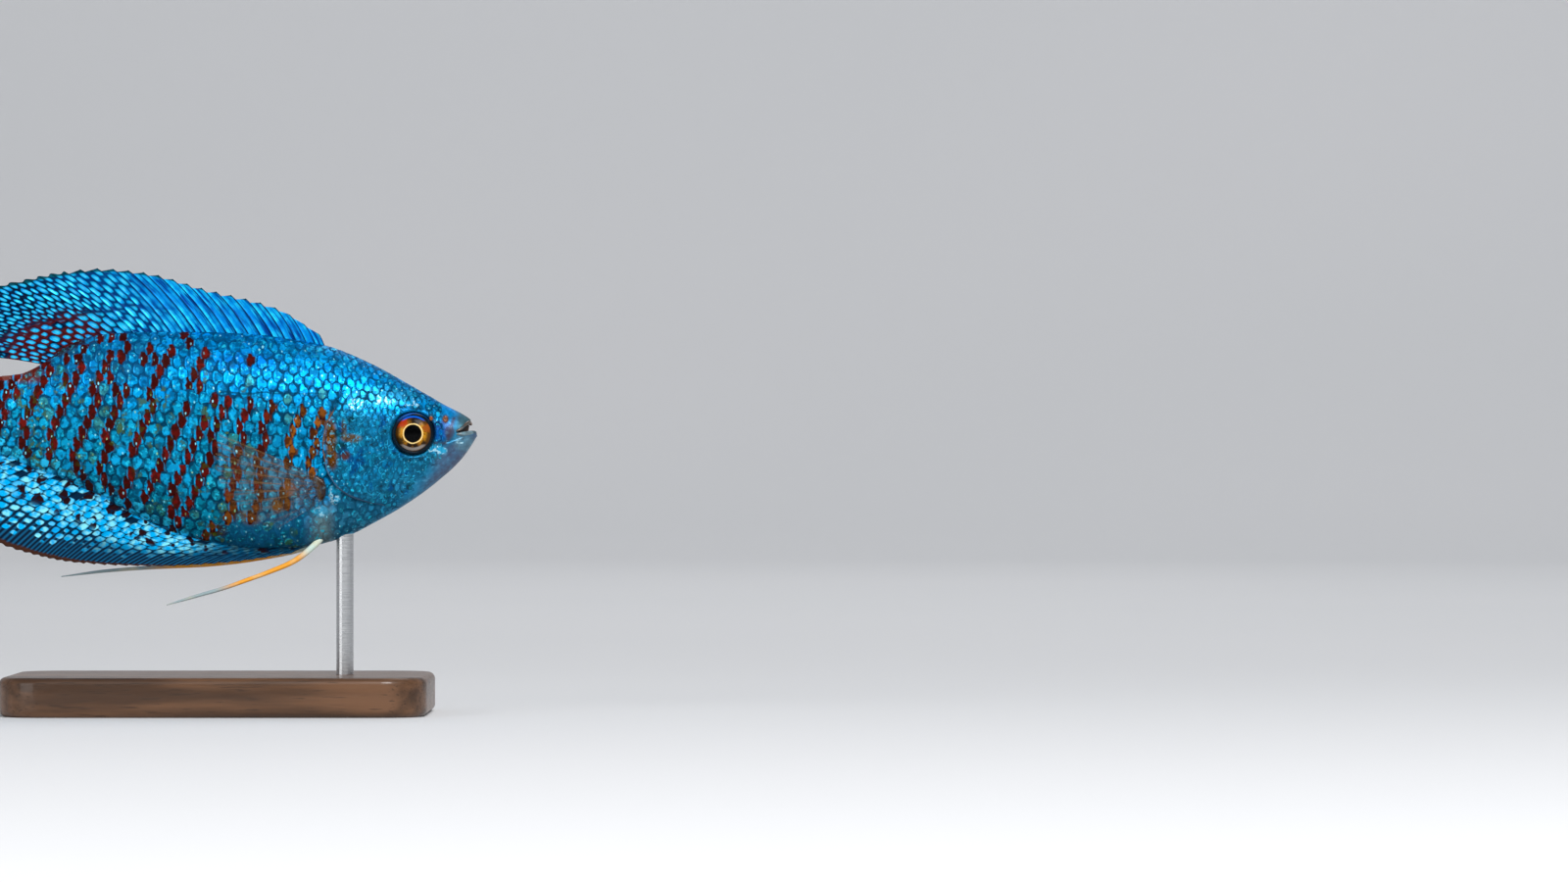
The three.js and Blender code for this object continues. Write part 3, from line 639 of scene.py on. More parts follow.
def prism(name, outline, half, finish):
    """A closed plate across the middle plane from an outline in side view."""
    count = len(outline)
    points = [(x, y, z) for y in (-half, half) for x, z in outline]
    faces = [range(count), range(count, 2 * count)[::-1]]
    for i in range(count):
        after = (i + 1) % count
        faces.append((i, after, count + after, count + i))
    return make_object(name, points, faces, finish, smooth=False)


def curve_through(points, count):
    """Evenly spread points on a smooth curve through a few points."""
    points = np.asarray(points, float)
    spans = np.linalg.norm(np.diff(points, axis=0), axis=1)
    at = np.concatenate([[0], np.cumsum(spans)])
    lines = [smooth_line(list(zip(at, points[:, axis]))) for axis in range(points.shape[1])]
    t = np.linspace(0, at[-1], count)
    return np.stack([line(t) for line in lines], -1)


# Materials


DARK_RED = (0.03, 0.004, 0.003)


class Value:
    """A number, vector or colour in a material's nodes, which sums are written with."""

    def __init__(self, finish, socket):
        self.finish = finish
        self.socket = socket

    def math(self, operation, *values):
        return self.finish.node("ShaderNodeMath", {"operation": operation}, dict(enumerate(values)))

    def __add__(self, other):
        return self.math("ADD", self, other)

    def __sub__(self, other):
        return self.math("SUBTRACT", self, other)

    def __rsub__(self, other):
        return self.math("SUBTRACT", other, self)

    def __mul__(self, other):
        return self.math("MULTIPLY", self, other)

    def __truediv__(self, other):
        return self.math("DIVIDE", self, other)

    def __pow__(self, other):
        return self.math("POWER", self, other)

    def __neg__(self):
        return self.math("MULTIPLY", self, -1.0)

    __radd__ = __add__
    __rmul__ = __mul__

    def root(self):
        return self.math("SQRT", self)

    def size(self):
        return self.math("ABSOLUTE", self)

    def part(self):
        """What is left over the whole number below."""
        return self.math("FRACT", self)

    def whole(self):
        return self.math("FLOOR", self)

    def least(self, other):
        return self.math("MINIMUM", self, other)

    def most(self, other):
        return self.math("MAXIMUM", self, other)

    def ease(self, low, high, start=0.0, end=1.0):
        """start below low, end above high, and smooth between them."""
        settings = {"interpolation_type": "SMOOTHSTEP"}
        values = {0: self, 1: low, 2: high, 3: start, 4: end}
        return self.finish.node("ShaderNodeMapRange", settings, values)

    def bell(self, middle, width):
        """1 at the middle, falling smoothly to 0 at a width on both sides."""
        return 1 - (self - middle).size().ease(0.0, width)

    def split(self):
        """The three numbers of a vector."""
        made = self.finish.node("ShaderNodeSeparateXYZ", {}, {0: self})
        return [Value(self.finish, socket) for socket in made.socket.node.outputs]


class Finish:
    """A material whose shader is built up from named values."""

    def __init__(self, name, roughness=0.35, metallic=0.0, specular=0.3, coat=0.0):
        self.material = bpy.data.materials.new(name)
        self.material.use_nodes = True
        self.tree = self.material.node_tree
        self.shader = self.tree.nodes["Principled BSDF"]
        fixed = {
            "Roughness": roughness,
            "Metallic": metallic,
            "Specular IOR Level": specular,
            "Coat Weight": coat,
            "Coat Roughness": 0.1,
        }
        for socket, value in fixed.items():
            self.shader.inputs[socket].default_value = value

    def node(self, kind, settings, values, out=0):
        """Adds a node from its type, its settings and the values or links of its sockets."""
        made = self.tree.nodes.new(kind)
        for key, setting in settings.items():
            setattr(made, key, setting)
        for key, value in values.items():
            if isinstance(value, Value):
                self.tree.links.new(value.socket, made.inputs[key])
            else:
                made.inputs[key].default_value = value
        return Value(self, made.outputs[out])

    def kept(self, name):
        """Three numbers that paint() kept on the mesh."""
        return self.node("ShaderNodeAttribute", {"attribute_name": name}, {}, 1)

    def place(self):
        """Place on the fish in metres."""
        return self.node("ShaderNodeTexCoord", {}, {}, 3)

    def side_view(self):
        """Place in side view: x and z in millimetres."""
        x, _, z = self.place().split()
        return x / MM, z / MM

    def noise(self, scale, detail=2.0, vector=None):
        """Smooth noise about 0.5, by default over the place in metres."""
        values = {"Vector": vector or self.place(), "Scale": scale, "Detail": detail}
        return self.node("ShaderNodeTexNoise", {}, values)

    def chance(self, *places):
        """One random number from 0 to 1 for each set of whole places."""
        vector = self.vector(*(*places, 0.0, 0.0)[:3])
        return self.node("ShaderNodeTexWhiteNoise", {"noise_dimensions": "3D"}, {"Vector": vector})

    def mix(self, share, first, second):
        """From the first colour at 0 to the second at 1."""
        colours = [c if isinstance(c, Value) else (*c, 1.0) for c in (first, second)]
        values = {0: share, 6: colours[0], 7: colours[1]}
        return self.node("ShaderNodeMix", {"data_type": "RGBA"}, values, 2)

    def vector(self, x, y, z):
        return self.node("ShaderNodeCombineXYZ", {}, {0: x, 1: y, 2: z})

    def feed(self, **sockets):
        """Links values to the shader's sockets, which are named in small letters."""
        for socket, value in sockets.items():
            name = socket.replace("_", " ").title()
            self.tree.links.new(value.socket, self.shader.inputs[name])

    def bump(self, height, strength, depth):
        """Raises the surface by a height, whose depth is in millimetres."""
        values = {"Strength": strength, "Distance": depth * MM, "Height": height}
        self.feed(normal=self.node("ShaderNodeBump", {}, values))


def streaked(finish, colour):
    """Fine curved streaks, deep blue patches and wet white glints over the cheek and gill cover. The
    bright streaks, the sheen and the white glints are painted highlights.
    """
    face, highlight, _ = finish.kept("face").split()
    lines = finish.noise(1150.0, 1.0)
    breaks = finish.noise(1500.0, 1.0)
    deep = finish.noise(480.0, 2.0)
    blue = 1 - finish.kept("pale").split()[0].ease(0.03, 0.08)
    colour = finish.mix(deep.ease(0.52, 0.64) * face * blue * 0.7, colour, (0.0, 0.06, 0.24))
    dim = 1 - (lines - 0.58).size().ease(0.01, 0.04)
    colour = finish.mix(dim * (1 - breaks).ease(0.45, 0.6) * face * 0.8, colour, (0.008, 0.03, 0.05))
    # Painted highlights: thin bright streaks along the curved lines
    thin = 1 - (lines - 0.47).size().ease(0.008, 0.035)
    colour = finish.mix(thin * breaks.ease(0.48, 0.6) * face * 0.8, colour, (0.03, 0.5, 0.85))
    # Painted sheen over the highlight patches
    sheen = highlight.ease(0.0, 0.8) * deep.ease(0.36, 0.5)
    colour = finish.mix(sheen * 0.6, colour, (0.02, 0.5, 0.85))
    # Painted white glints on the wet head
    glints = 1 - (finish.noise(900.0, 2.0) - 0.5).size().ease(0.012, 0.06)
    wet = highlight.ease(0.1, 0.7) * glints * breaks.ease(0.4, 0.5)
    return finish.mix(wet * 0.75, colour, (0.55, 0.88, 1.0))


def skin_finish():
    """Wet skin, mottled, with faint specks of small scales."""
    finish = Finish("gourami_skin", roughness=0.35, metallic=0.3, specular=0.06)
    pale, dark = finish.kept("pale"), finish.kept("dark")
    broad = finish.noise(420.0, 3.0)
    fine = finish.noise(1900.0, 3.0)
    lit = (broad * 0.5 + fine * 0.5).ease(0.36, 0.62)
    colour = finish.mix(lit, finish.mix(0.35, dark, pale), pale)
    speck = finish.mix(0.4, pale, (0.25, 0.6, 0.75))
    colour = streaked(finish, finish.mix(fine.ease(0.58, 0.72) * 0.35, colour, speck))
    finish.feed(base_color=colour, roughness=broad.ease(0.3, 0.7, 0.26, 0.42))
    finish.bump(broad + fine * 0.6, 0.35, 0.06)
    return finish.material


def scale_finish():
    """Shining scales: a pale, mottled middle in the open part of each, dark towards its edges."""
    finish = Finish("gourami_scales", roughness=0.3, metallic=0.6, specular=0.03)
    pale, dark = finish.kept("pale"), finish.kept("dark")
    along, across, chance = finish.kept("scale_place").split()
    face = finish.kept("face").split()[0]
    broad, rough = finish.noise(420.0, 2.0), finish.noise(900.0, 1.0)
    facets, warp, fine = finish.noise(1250.0, 1.0), finish.noise(1500.0, 2.0), finish.noise(3200.0, 2.0)
    x, z = finish.side_view()
    low_flank = (1 - x.ease(8.0, 14.0)) * (1 - z.ease(42.0, 45.0))

    # The open part is a ragged diamond on the stripes' scales, whose chance is below -1, else an oval
    marked = 1 - (chance + 1.0).ease(-0.02, 0.02)
    oval = (along**2.0 + across**2.0).root()
    diamond = along.size() + across.size()
    away = oval * (1 - marked) + diamond * marked + (warp - 0.5) * 1.4 + (rough - 0.5) * 1.3
    open_part = 1 - away.ease(0.74, 1.24)

    # Greener and bluer scales side by side, each broken up into facets
    hue = (chance * 7.31).part()
    greener = finish.mix(0.3, pale, (0.0, 0.25, 0.22))
    green = finish.mix(hue.ease(0.2, 0.9) * (low_flank * 0.3 + 0.6), pale, greener)
    plain = finish.mix(marked, green, pale)
    low = finish.mix(0.68 + marked * 0.05, plain, finish.mix(marked, dark, DARK_RED))
    body = finish.mix((fine * 0.25 + facets * 0.75).ease(0.42, 0.56), low, plain)
    joined = marked * (1 - (along + (warp - 0.5) * 0.8).size().ease(0.6, 1.1))
    beside = marked * (fine * 0.3 + facets * 0.7).ease(0.42, 0.54)
    border = finish.mix(beside * 0.8, dark, (0.0, 0.36, 0.74))
    colour = finish.mix(open_part.most(face * 0.6), finish.mix(joined, border, DARK_RED), body)

    # Olive flecks, pale crests that are painted glints, and the lateral line
    tint = finish.noise(260.0, 2.0).ease(0.5, 0.62) * (1 - facets).ease(0.53, 0.62) * low_flank
    colour = finish.mix(tint * (0.6 - marked * 0.4), colour, (0.08, 0.14, 0.012))
    crest_glint = open_part * (warp * 0.6 + fine * 0.4).ease(0.52, 0.62) * (1 - marked) * (1 - face)
    colour = finish.mix(crest_glint * (hue * 0.5 + 0.3), colour, (0.02, 0.66, 0.95))
    line = (z + (broad - 0.5) * 0.8).bell(40.8, 0.2) * x.ease(5.5, 8.0) * (1 - x.ease(19.5, 21.5))
    colour = streaked(finish, finish.mix(line * 0.85, colour, (0.0, 0.04, 0.09)))

    # Painted highlights: bright arcs along some scales' edges on the cheek, and one small painted glint
    # on some scales everywhere
    arc = (oval + (warp - 0.5) * 0.7).bell(0.95, 0.3) * (along + (rough - 0.5) * 3.0).ease(-0.1, 0.5)
    arc = arc * face * (chance * 3.7).part().ease(0.55, 0.9) * broad.ease(0.44, 0.58)
    colour = finish.mix(arc * 0.75, colour, (0.02, 0.5, 0.85))
    side = (chance * 17.3).part() * 1.2 - 0.6
    level = (chance * 29.7).part() * 1.4 - 0.7
    spark = (((along - side) / 0.22) ** 2.0 + ((across - level) / 0.24) ** 2.0).root()
    spark = spark + (fine - 0.5) * 1.6
    glint = (1 - spark.ease(0.4, 1.0)) * (chance * 5.3).part().ease(0.5, 0.8) * (1 - face * 0.6)
    yellowish = (chance * 11.7).part().ease(0.6, 0.75) * low_flank * 0.8
    colour = finish.mix(glint * 0.85, colour, finish.mix(yellowish, (0.3, 0.85, 1.0), (0.3, 0.5, 0.06)))

    shine = open_part.most(face * 0.6) * (0.5 - marked * 0.3)
    finish.feed(base_color=colour, roughness=open_part.ease(0.0, 1.0, 0.5, 0.4), metallic=shine)
    finish.bump(warp + fine, 0.35, 0.035)
    return finish.material


def membrane_finish(name):
    """A wet membrane with next to no shine of its own, for a fin's colours."""
    return Finish(name, roughness=0.35, metallic=0.25, specular=0.04)


def mark_away(run, across, half_length, half_width, power=2.6, root=0.385):
    """How far a place lies from the middle of a rounded oblong mark, and 1 at its edge.

    run rises by 1 from one mark to the next along the fin's rays, and across from 0 to 1 over the
    marks' own lane. power makes the oblong fuller, and root is 1 / power.
    """
    long_off = (run.part() - 0.5).size() / half_length
    wide_off = (across - 0.5).size() / half_width
    return (long_off**power + wide_off**power) ** root


# Every operator below makes one piece, or one group of like pieces


def body_settings():
    return bpy.context.scene.gourami_body


def fin_settings():
    return bpy.context.scene.gourami_fins


def carry(made, slot, *nodes):
    """Sets a piece on the fish's one body, and hides the solids that it replaces. slot is not used."""
    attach(made, "root")
    if nodes:
        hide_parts(*nodes)


class GOURAMI_OT_studio(Operator):
    """Makes the floor, the lights and the camera"""

    bl_idname = "gourami.studio"
    bl_label = "Studio"

    def execute(self, context):
        studio = context.scene.gourami_studio
        self.make_floor()
        self.make_lights(studio)
        self.make_camera(studio)
        context.scene.view_settings.view_transform = "Standard"
        return {"FINISHED"}

    def make_floor(self):
        """A round pale floor that curves up into a wall far behind everything."""
        near, flat, bend, top, around = 300.0, 1300.0, 900.0, 1500.0, 96
        rise = np.linspace(0, math.pi / 2, 13)
        radii = [0.0, near, *(flat + bend * np.sin(rise)), flat + bend]
        heights = [0.0, 0.0, *(bend - bend * np.cos(rise)), top]
        turns = np.linspace(0, 2 * math.pi, around, endpoint=False)
        points = [(r * math.cos(a), r * math.sin(a), z) for r, z in zip(radii, heights) for a in turns]
        finish = Finish("studio_floor", roughness=0.9)
        soft = finish.noise(3.0, 1.0)
        finish.feed(base_color=finish.mix(soft, (0.74, 0.75, 0.76), (0.78, 0.78, 0.79)))
        faces = grid_faces(len(radii), around, close=True)
        floor = make_object("studio_floor", points, faces, finish.material, closed=False)

    def make_lights(self, studio):
        """A soft light above the camera's left, a low fill, one from behind, and one for the wall."""
        aim_fish, aim_wall = (0, 0, 0.035), (0.2, 2.2, 0.25)
        # Name, place, aim, size and power of each lamp
        lamps = (
            ("key", (0.35, -0.8, 0.7), aim_fish, 0.45, studio.key_power),
            ("fill", (-0.7, -0.7, 0.25), aim_fish, 0.6, studio.fill_power),
            ("rim", (0.1, 0.5, 0.8), aim_fish, 0.4, studio.fill_power * 0.6),
            ("wall", (0.1, 0.9, 1.1), aim_wall, 0.8, studio.wall_power),
        )
        for name, place, target, size, power in lamps:
            light = bpy.data.lights.new(f"studio_{name}", "AREA")
            light.size = size
            light.energy = power
            lamp = bpy.data.objects.new(f"studio_{name}", light)
            lamp.location = place
            aim = Vector(target) - Vector(place)
            lamp.rotation_euler = aim.to_track_quat("-Z", "Y").to_euler()
            bpy.context.scene.collection.objects.link(lamp)
        world = bpy.data.worlds.new("studio_world")
        world.use_nodes = True
        background = world.node_tree.nodes["Background"]
        background.inputs["Color"].default_value = (0.85, 0.9, 1.0, 1.0)
        background.inputs["Strength"].default_value = 0.22
        bpy.context.scene.world = world

    def make_camera(self, studio):
        """The camera looks level along +Y, with the fish at the left of its view as in the photo."""
        data = bpy.data.cameras.new("camera")
        data.sensor_width = 36.0
        data.lens = data.sensor_width * studio.distance / studio.field
        data.clip_start, data.clip_end = 0.01, 20.0
        camera = bpy.data.objects.new("camera", data)
        camera.location = (0.079, -studio.distance, 0.03475)
        camera.rotation_euler = (math.pi / 2, 0, 0)
        bpy.context.scene.collection.objects.link(camera)
        bpy.context.scene.camera = camera


class GOURAMI_OT_skin(Operator):
    """Makes the one skin of head, body and tail stalk, with the mouth cut into it"""

    bl_idname = "gourami.skin"
    bl_label = "Skin"

    stations = 300
    half_ring = 86

    def execute(self, context):
        body = body_settings()
        ring = 2 * self.half_ring
        share = np.arange(self.stations) / self.stations
        x = TAIL_ROOT_X + (SNOUT_X - TAIL_ROOT_X) * np.sin(share * math.pi / 2)
        swell = -body.coat_depth / MM * (1 - 0.6 * ease(x, 35, 38.5))
        turn = np.arange(ring) * math.pi / self.half_ring - math.pi / 2
        side = np.where(np.arange(ring) < self.half_ring, 1.0, -1.0)
        y, z = section(x[:, None], turn[None, :], swell[:, None])
        xs = np.broadcast_to(x[:, None], y.shape)
        relief = head_relief(xs, z) * np.abs(np.cos(turn))[None, :] ** 0.5
        y = np.maximum(y + relief, 0) * side[None, :]
        # The snout's tip and the middle of the tail root close the two ends
        ends = [(SNOUT_X - 0.02, 0, 35.4), (TAIL_ROOT_X, 0, 38.1)]
        points = np.concatenate([np.stack([xs, y, z], -1).reshape(-1, 3), ends])
        faces = [*grid_faces(self.stations, ring, close=True)]
        snout, tail = self.stations * ring, self.stations * ring + 1
        last = (self.stations - 1) * ring
        for j in range(ring):
            after = (j + 1) % ring
            faces.append((last + j, snout, last + after))
            faces.append((j, after, tail))
        skin = make_object("skin", points, faces, skin_finish())
        self.cut_mouth(skin)
        self.colour(skin, body)
        carry(skin, "body_skin", "head", "torso", "tail_stalk")
        return {"FINISHED"}

    def cut_mouth(self, skin):
        """Cuts the gape, whose inside keeps a dark finish of its own, a painted shade for the hollow of
        the mouth.
        """
        inside = Finish("mouth_inside_painted_shade", roughness=0.5)
        # Painted shade: near black inside the gape
        shade = inside.noise(900.0, 2.0)
        inside.feed(base_color=inside.mix(shade, (0.004, 0.006, 0.01), (0.03, 0.018, 0.014)))
        wedge = prism("gape", GAPE, 6.0, inside.material)
        skin.data.materials.append(inside.material)
        cut = skin.modifiers.new("mouth", "BOOLEAN")
        cut.operation = "DIFFERENCE"
        cut.solver = "EXACT"
        cut.material_mode = "TRANSFER"
        cut.object = wedge
        bpy.context.view_layer.update()
        shaped = skin.evaluated_get(bpy.context.evaluated_depsgraph_get())
        cut_mesh = bpy.data.meshes.new_from_object(shaped)
        skin.modifiers.clear()
        skin.data = cut_mesh
        bpy.data.objects.remove(wedge)

    def colour(self, skin, body):
        """The scales' own markings, and darker under them as painted shade."""
        count = len(skin.data.vertices)
        spots = np.empty(count * 3)
        skin.data.vertices.foreach_get("co", spots)
        x, _, z = spots.reshape(-1, 3).T / MM
        pale, dark = ground_colours(x, z, body, np.full(count, 0.3))
        near = 1 - ease(np.abs(stripe_offset(x, z)), 0.3, 0.8)
        stripe = stripe_colours(x, z, body)
        pale = blend(pale, stripe, near)
        dark = blend(dark, stripe * 0.3, near)
        # Painted shade: the skin is darkened where scales lie over it
        paint(skin, "pale", blend(pale, dark, 0.75 * scaled(x, z)))
        paint(skin, "dark", dark)
        paint_face(skin, x, z)


class GOURAMI_OT_scales(Operator):
    """Makes the scales of both sides, in rows over the skin"""

    bl_idname = "gourami.scales"
    bl_label = "Scales"

    # Outline of a scale in pitches: where it starts under the one in front, and its open end
    front = -0.72
    shoulder = -0.15
    rear = 0.55
    half_height = 0.82
    across_steps = 9
    along_steps = 6
    thickness = 0.026

    # How the pitch along the rows and between them shrinks towards head and tail, as (x, share)
    pitch_shares = ((-23, 1.0), (-16, 0.98), (8, 1.0), (17, 0.88), (22, 0.8), (30, 0.62), (38, 0.5))
    row_shares = (
        (-23, 0.74), (-12, 0.92), (0, 1.0), (8, 1.0), (17, 0.88), (22, 0.8), (30, 0.6), (38, 0.48),
    )

    # The cheek's own field of small scales
    cheek_size = 0.6
    cheek_from = 20.0
    cheek_shares = ((20, 1.0), (38, 0.8))

    # Where every field ends in front, its rows from below upwards, and how far scales stray in pitches
    front_end = 38
    rows = range(-32, 28)
    stray = 0.04

    # Scales smaller than this share are left out near the eye, snout and jaws
    least = 0.25

    def execute(self, context):
        body = body_settings()
        finish = scale_finish()
        chances = np.random.default_rng(SEED)
        flank = Flank(-body.coat_depth / MM)
        for name, side in SIDES:
            shares = self.pitch_shares, self.row_shares
            large = self.lattice(body, flank, chances, 1.0, TAIL_ROOT_X + 0.5, *shares)
            shares = self.cheek_shares, self.cheek_shares
            small = self.lattice(body, flank, chances, self.cheek_size, self.cheek_from, *shares)
            trunk = self.chosen(large, flank, self.on_body)
            nape = self.chosen(large, flank, self.on_nape)
            cheek = self.chosen(small, flank, self.on_cheek)
            head = [np.concatenate(pair) for pair in zip(nape, cheek)]
            for part, places in (("body", trunk), ("head", head)):
                made = self.coat(f"scales_{part}_{name}", side, places, body, flank, finish, chances)
                carry(made, f"{part}_skin")
        return {"FINISHED"}

    def lattice(self, body, flank, chances, size, start, pitch_shares, row_shares):
        """Middles of all scales of a field: x, arc, and the two pitches there."""
        pitch_at, row_at = smooth_line(pitch_shares), smooth_line(row_shares)
        pitch, row = body.scale_pitch / MM * size, body.row_pitch / MM * size
        marks = [start]
        while marks[-1] < self.front_end:
            marks.append(marks[-1] + pitch * float(pitch_at(marks[-1])))
        numbers = np.arange(len(marks))
        found = []
        for line in self.rows:
            at = np.interp(numbers[:-1] + 0.5 * (line % 2), numbers, marks)
            found.append(np.stack([at, line * row * row_at(at)], -1))
        x, arc = np.concatenate(found).T
        x = x + chances.uniform(-self.stray, self.stray, len(x)) * pitch * pitch_at(x)
        arc = arc + chances.uniform(-self.stray, self.stray, len(x)) * row * row_at(x)
        low, high = flank.limits(x)
        on = (arc > low + 0.2) & (arc < high - 0.1)
        x, arc = x[on], arc[on]
        return x, arc, pitch * pitch_at(x), row * row_at(x)

    def chosen(self, field, flank, test):
        """The scales of a field whose middles pass a test."""
        x, arc = field[:2]
        kept = test(x, flank.place(x, arc)[:, 2])
        return [values[kept] for values in field]

    def on_body(self, x, z):
        """Behind the gill cover's edge."""
        return (gill_distance(x, z) < -0.15) | (x < 20)

    def on_nape(self, x, z):
        """On the head above the cheek, which it overlaps a little."""
        return ~self.on_body(x, z) & (z > cheek_top(x) - 0.3) & (scaled(x, z) > self.least)

    def on_cheek(self, x, z):
        """On the cheek and gill cover."""
        return ~self.on_body(x, z) & (z < cheek_top(x) + 0.3) & (scaled(x, z) > self.least)

    def outline(self):
        """Points of one scale, as pitches rearward and row heights upward, and the order of its edge.

        The top face's grid comes first, then the edge once more for the underside, and its middle.
        """
        across = np.linspace(-1, 1, self.across_steps)
        open_end = self.shoulder + (self.rear - self.shoulder) * (1 - np.abs(across) ** 2.6) ** 0.4
        steps = np.linspace(0, 1, self.along_steps)
        along = (self.front + (open_end - self.front)[:, None] * steps[None, :]).ravel()
        across = np.repeat(across, self.along_steps)
        grid = np.arange(len(along)).reshape(self.across_steps, self.along_steps)
        edge = np.concatenate([grid[0, :], grid[1:, -1], grid[-1, -2::-1], grid[-2:0:-1, 0]])
        a = np.concatenate([along, along[edge], [-0.1]])
        b = np.concatenate([across, across[edge], [0.0]])
        return a, b, edge

    def plate_faces(self, edge, side, count, total):
        """Faces of all scales, each a closed plate of so many points."""
        top = self.across_steps * self.along_steps
        ring = len(edge)
        quads = [tuple(face) for face in grid_faces(self.across_steps, self.along_steps)]
        threes = []
        for i in range(ring):
            after = (i + 1) % ring
            quads.append((edge[after], edge[i], top + i, top + after))
            threes.append((top + after, top + i, top + ring))
        shifts = np.arange(count)[:, None, None] * total
        faces = []
        for kind in (np.array(quads), np.array(threes)):
            kind = kind[:, ::-1] if side > 0 else kind
            faces += (kind[None] + shifts).reshape(-1, kind.shape[1]).tolist()
        return faces

    def coat(self, name, side, places, body, flank, finish, chances):
        """One closed plate for each scale, laid on the curved side."""
        x, arc, pitch, row = places
        count = len(x)
        a, b, edge = self.outline()
        top = self.across_steps * self.along_steps
        rise = (a - self.front) / (self.rear - self.front)
        height = -0.015 + 0.06 * rise - 0.03 * b**4
        for slope, lean in ((a, 0.015), (b, 0.014)):
            height = height + chances.normal(0, lean, (count, 1)) * slope
        height[:, top:] -= self.thickness
        z = flank.place(x, arc)[:, 2]
        size = (1 - 0.45 * ease(x, 20, 25) - 0.25 * face_share(x, z)) * (0.3 + 0.7 * scaled(x, z))
        rearward = a[None, :] * pitch[:, None]
        upward = b[None, :] * row[:, None]
        px = x[:, None] - rearward
        low, high = flank.limits(px)
        pa = np.clip(arc[:, None] + upward * self.half_height, low + 0.02, high - 0.02)
        points = flank.raised(px, pa, height * size[:, None])
        points[..., 1] *= side
        faces = self.plate_faces(edge, side, count, len(a))
        made = make_object(name, points.reshape(-1, 3), faces, finish, closed=False)
        self.colour(made, points, (a, b), places, body, chances)

        # Each scale is a small patch of its own at its place on the unrolled side
        u = (x[:, None] - TAIL_ROOT_X + 1 - rearward * 0.6) / (SNOUT_X - TAIL_ROOT_X + 2)
        v = 0.5 + (arc[:, None] + upward * 0.45) / (flank.highest - flank.lowest)
        unwrap(made, np.stack([u, v], -1).reshape(-1, 2))
        return made

    def colour(self, made, points, outline, places, body, chances):
        """Pale and dark colour at each point, with one draw for each scale."""
        count, total = points.shape[:2]

        def spread(values):
            """One value for each scale, given to all of its points."""
            return np.repeat(values, total)

        def choose(chosen, first, second):
            return np.where(chosen[:, None], first, second)

        x, _, z = points.mean(axis=1).T
        flat_x, _, flat_z = points.reshape(-1, 3).T
        each = spread(chances.random(count))
        pale, dark = ground_colours(flat_x, flat_z, body, each)

        # Scales of the stripes, and a few stray red ones on the back
        pitch = places[2]
        off = stripe_offset(x, z)
        striped = (np.abs(off) < 0.5 * pitch) & (chances.random(count) < 0.96)
        rare = 0.2 - 0.12 * ease(x, 0, 6)
        stray = (chances.random(count) < rare) & (z > 40.5) & (x < 12 - 5 * ease(z, 46, 47.5))
        shift = spread(0.06 + np.where(striped, 0.2 * off / pitch, 0.0))
        striped = spread(striped | stray)
        spot = stripe_colours(flat_x, flat_z, body) * spread(chances.uniform(0.35, 1.3, count))[:, None]
        pale = pale * spread(chances.uniform(0.6, 1.14, count))[:, None]
        greenish = spread((chances.random(count) < 0.07) & (z < 44) & (x < 22))
        pale = blend(pale, np.array(body.olive), 0.7 * greenish)
        dark = choose(striped, 0.4 * pale + 0.6 * dark, dark)
        pale = choose(striped, spot, pale)

        # Small scales on the sheath at the anal fin's root, of which some are dark
        sheath = spread((z - belly_at(x) < 1.1 + 1.1 * ease(-x, -4, 2)) & (x < 4))
        dull = each < 0.22
        pale = choose(sheath, choose(dull, (0.03, 0.006, 0.008), (0.03, 0.62, 1.0)), pale)
        dark = choose(sheath, (0.002, 0.03, 0.07), dark)
        striped = np.where(sheath, dull, striped)
        paint(made, "pale", pale)
        paint(made, "dark", dark)
        paint_face(made, flat_x, flat_z)

        # Half width and half height of each scale's pale middle, which is larger on the nape
        nape = spread(ease(z - (40.8 - ease(x, 20, 30) * 2.2), 0, 1.5) * ease(x, 2, 12))
        bigger = spread(chances.uniform(0.84, 1.16, count))
        wide = np.where(striped, 0.38, 0.42 + 0.06 * nape) * bigger
        tall = np.where(striped, 0.68, 0.54 + 0.08 * nape) / self.half_height * bigger
        a, b = (np.tile(values, count) for values in outline)
        kind = np.where(striped, -1.1 - 0.3 * each, each)
        paint(made, "scale_place", np.stack([(a - shift) / wide, b / tall, kind], -1))


def median_place(sway):
    """Middle of a fin on the middle plane: rays that sag a little, and a sheet that sways sideways."""
    inside, sag = 0.9, -0.03

    def place(foot, tip, share, number):
        along = tip - foot
        length = np.linalg.norm(along, axis=-1)
        root = -inside / length
        t = root + (1 - root) * share
        bend = sag * length * 4 * t * (1 - t)
        x = foot[..., 0] + along[..., 0] * t - bend * along[..., 1] / length
        z = foot[..., 1] + along[..., 1] * t + bend * along[..., 0] / length
        return np.stack([x, sway(number) * t * t, z], -1)

    return place


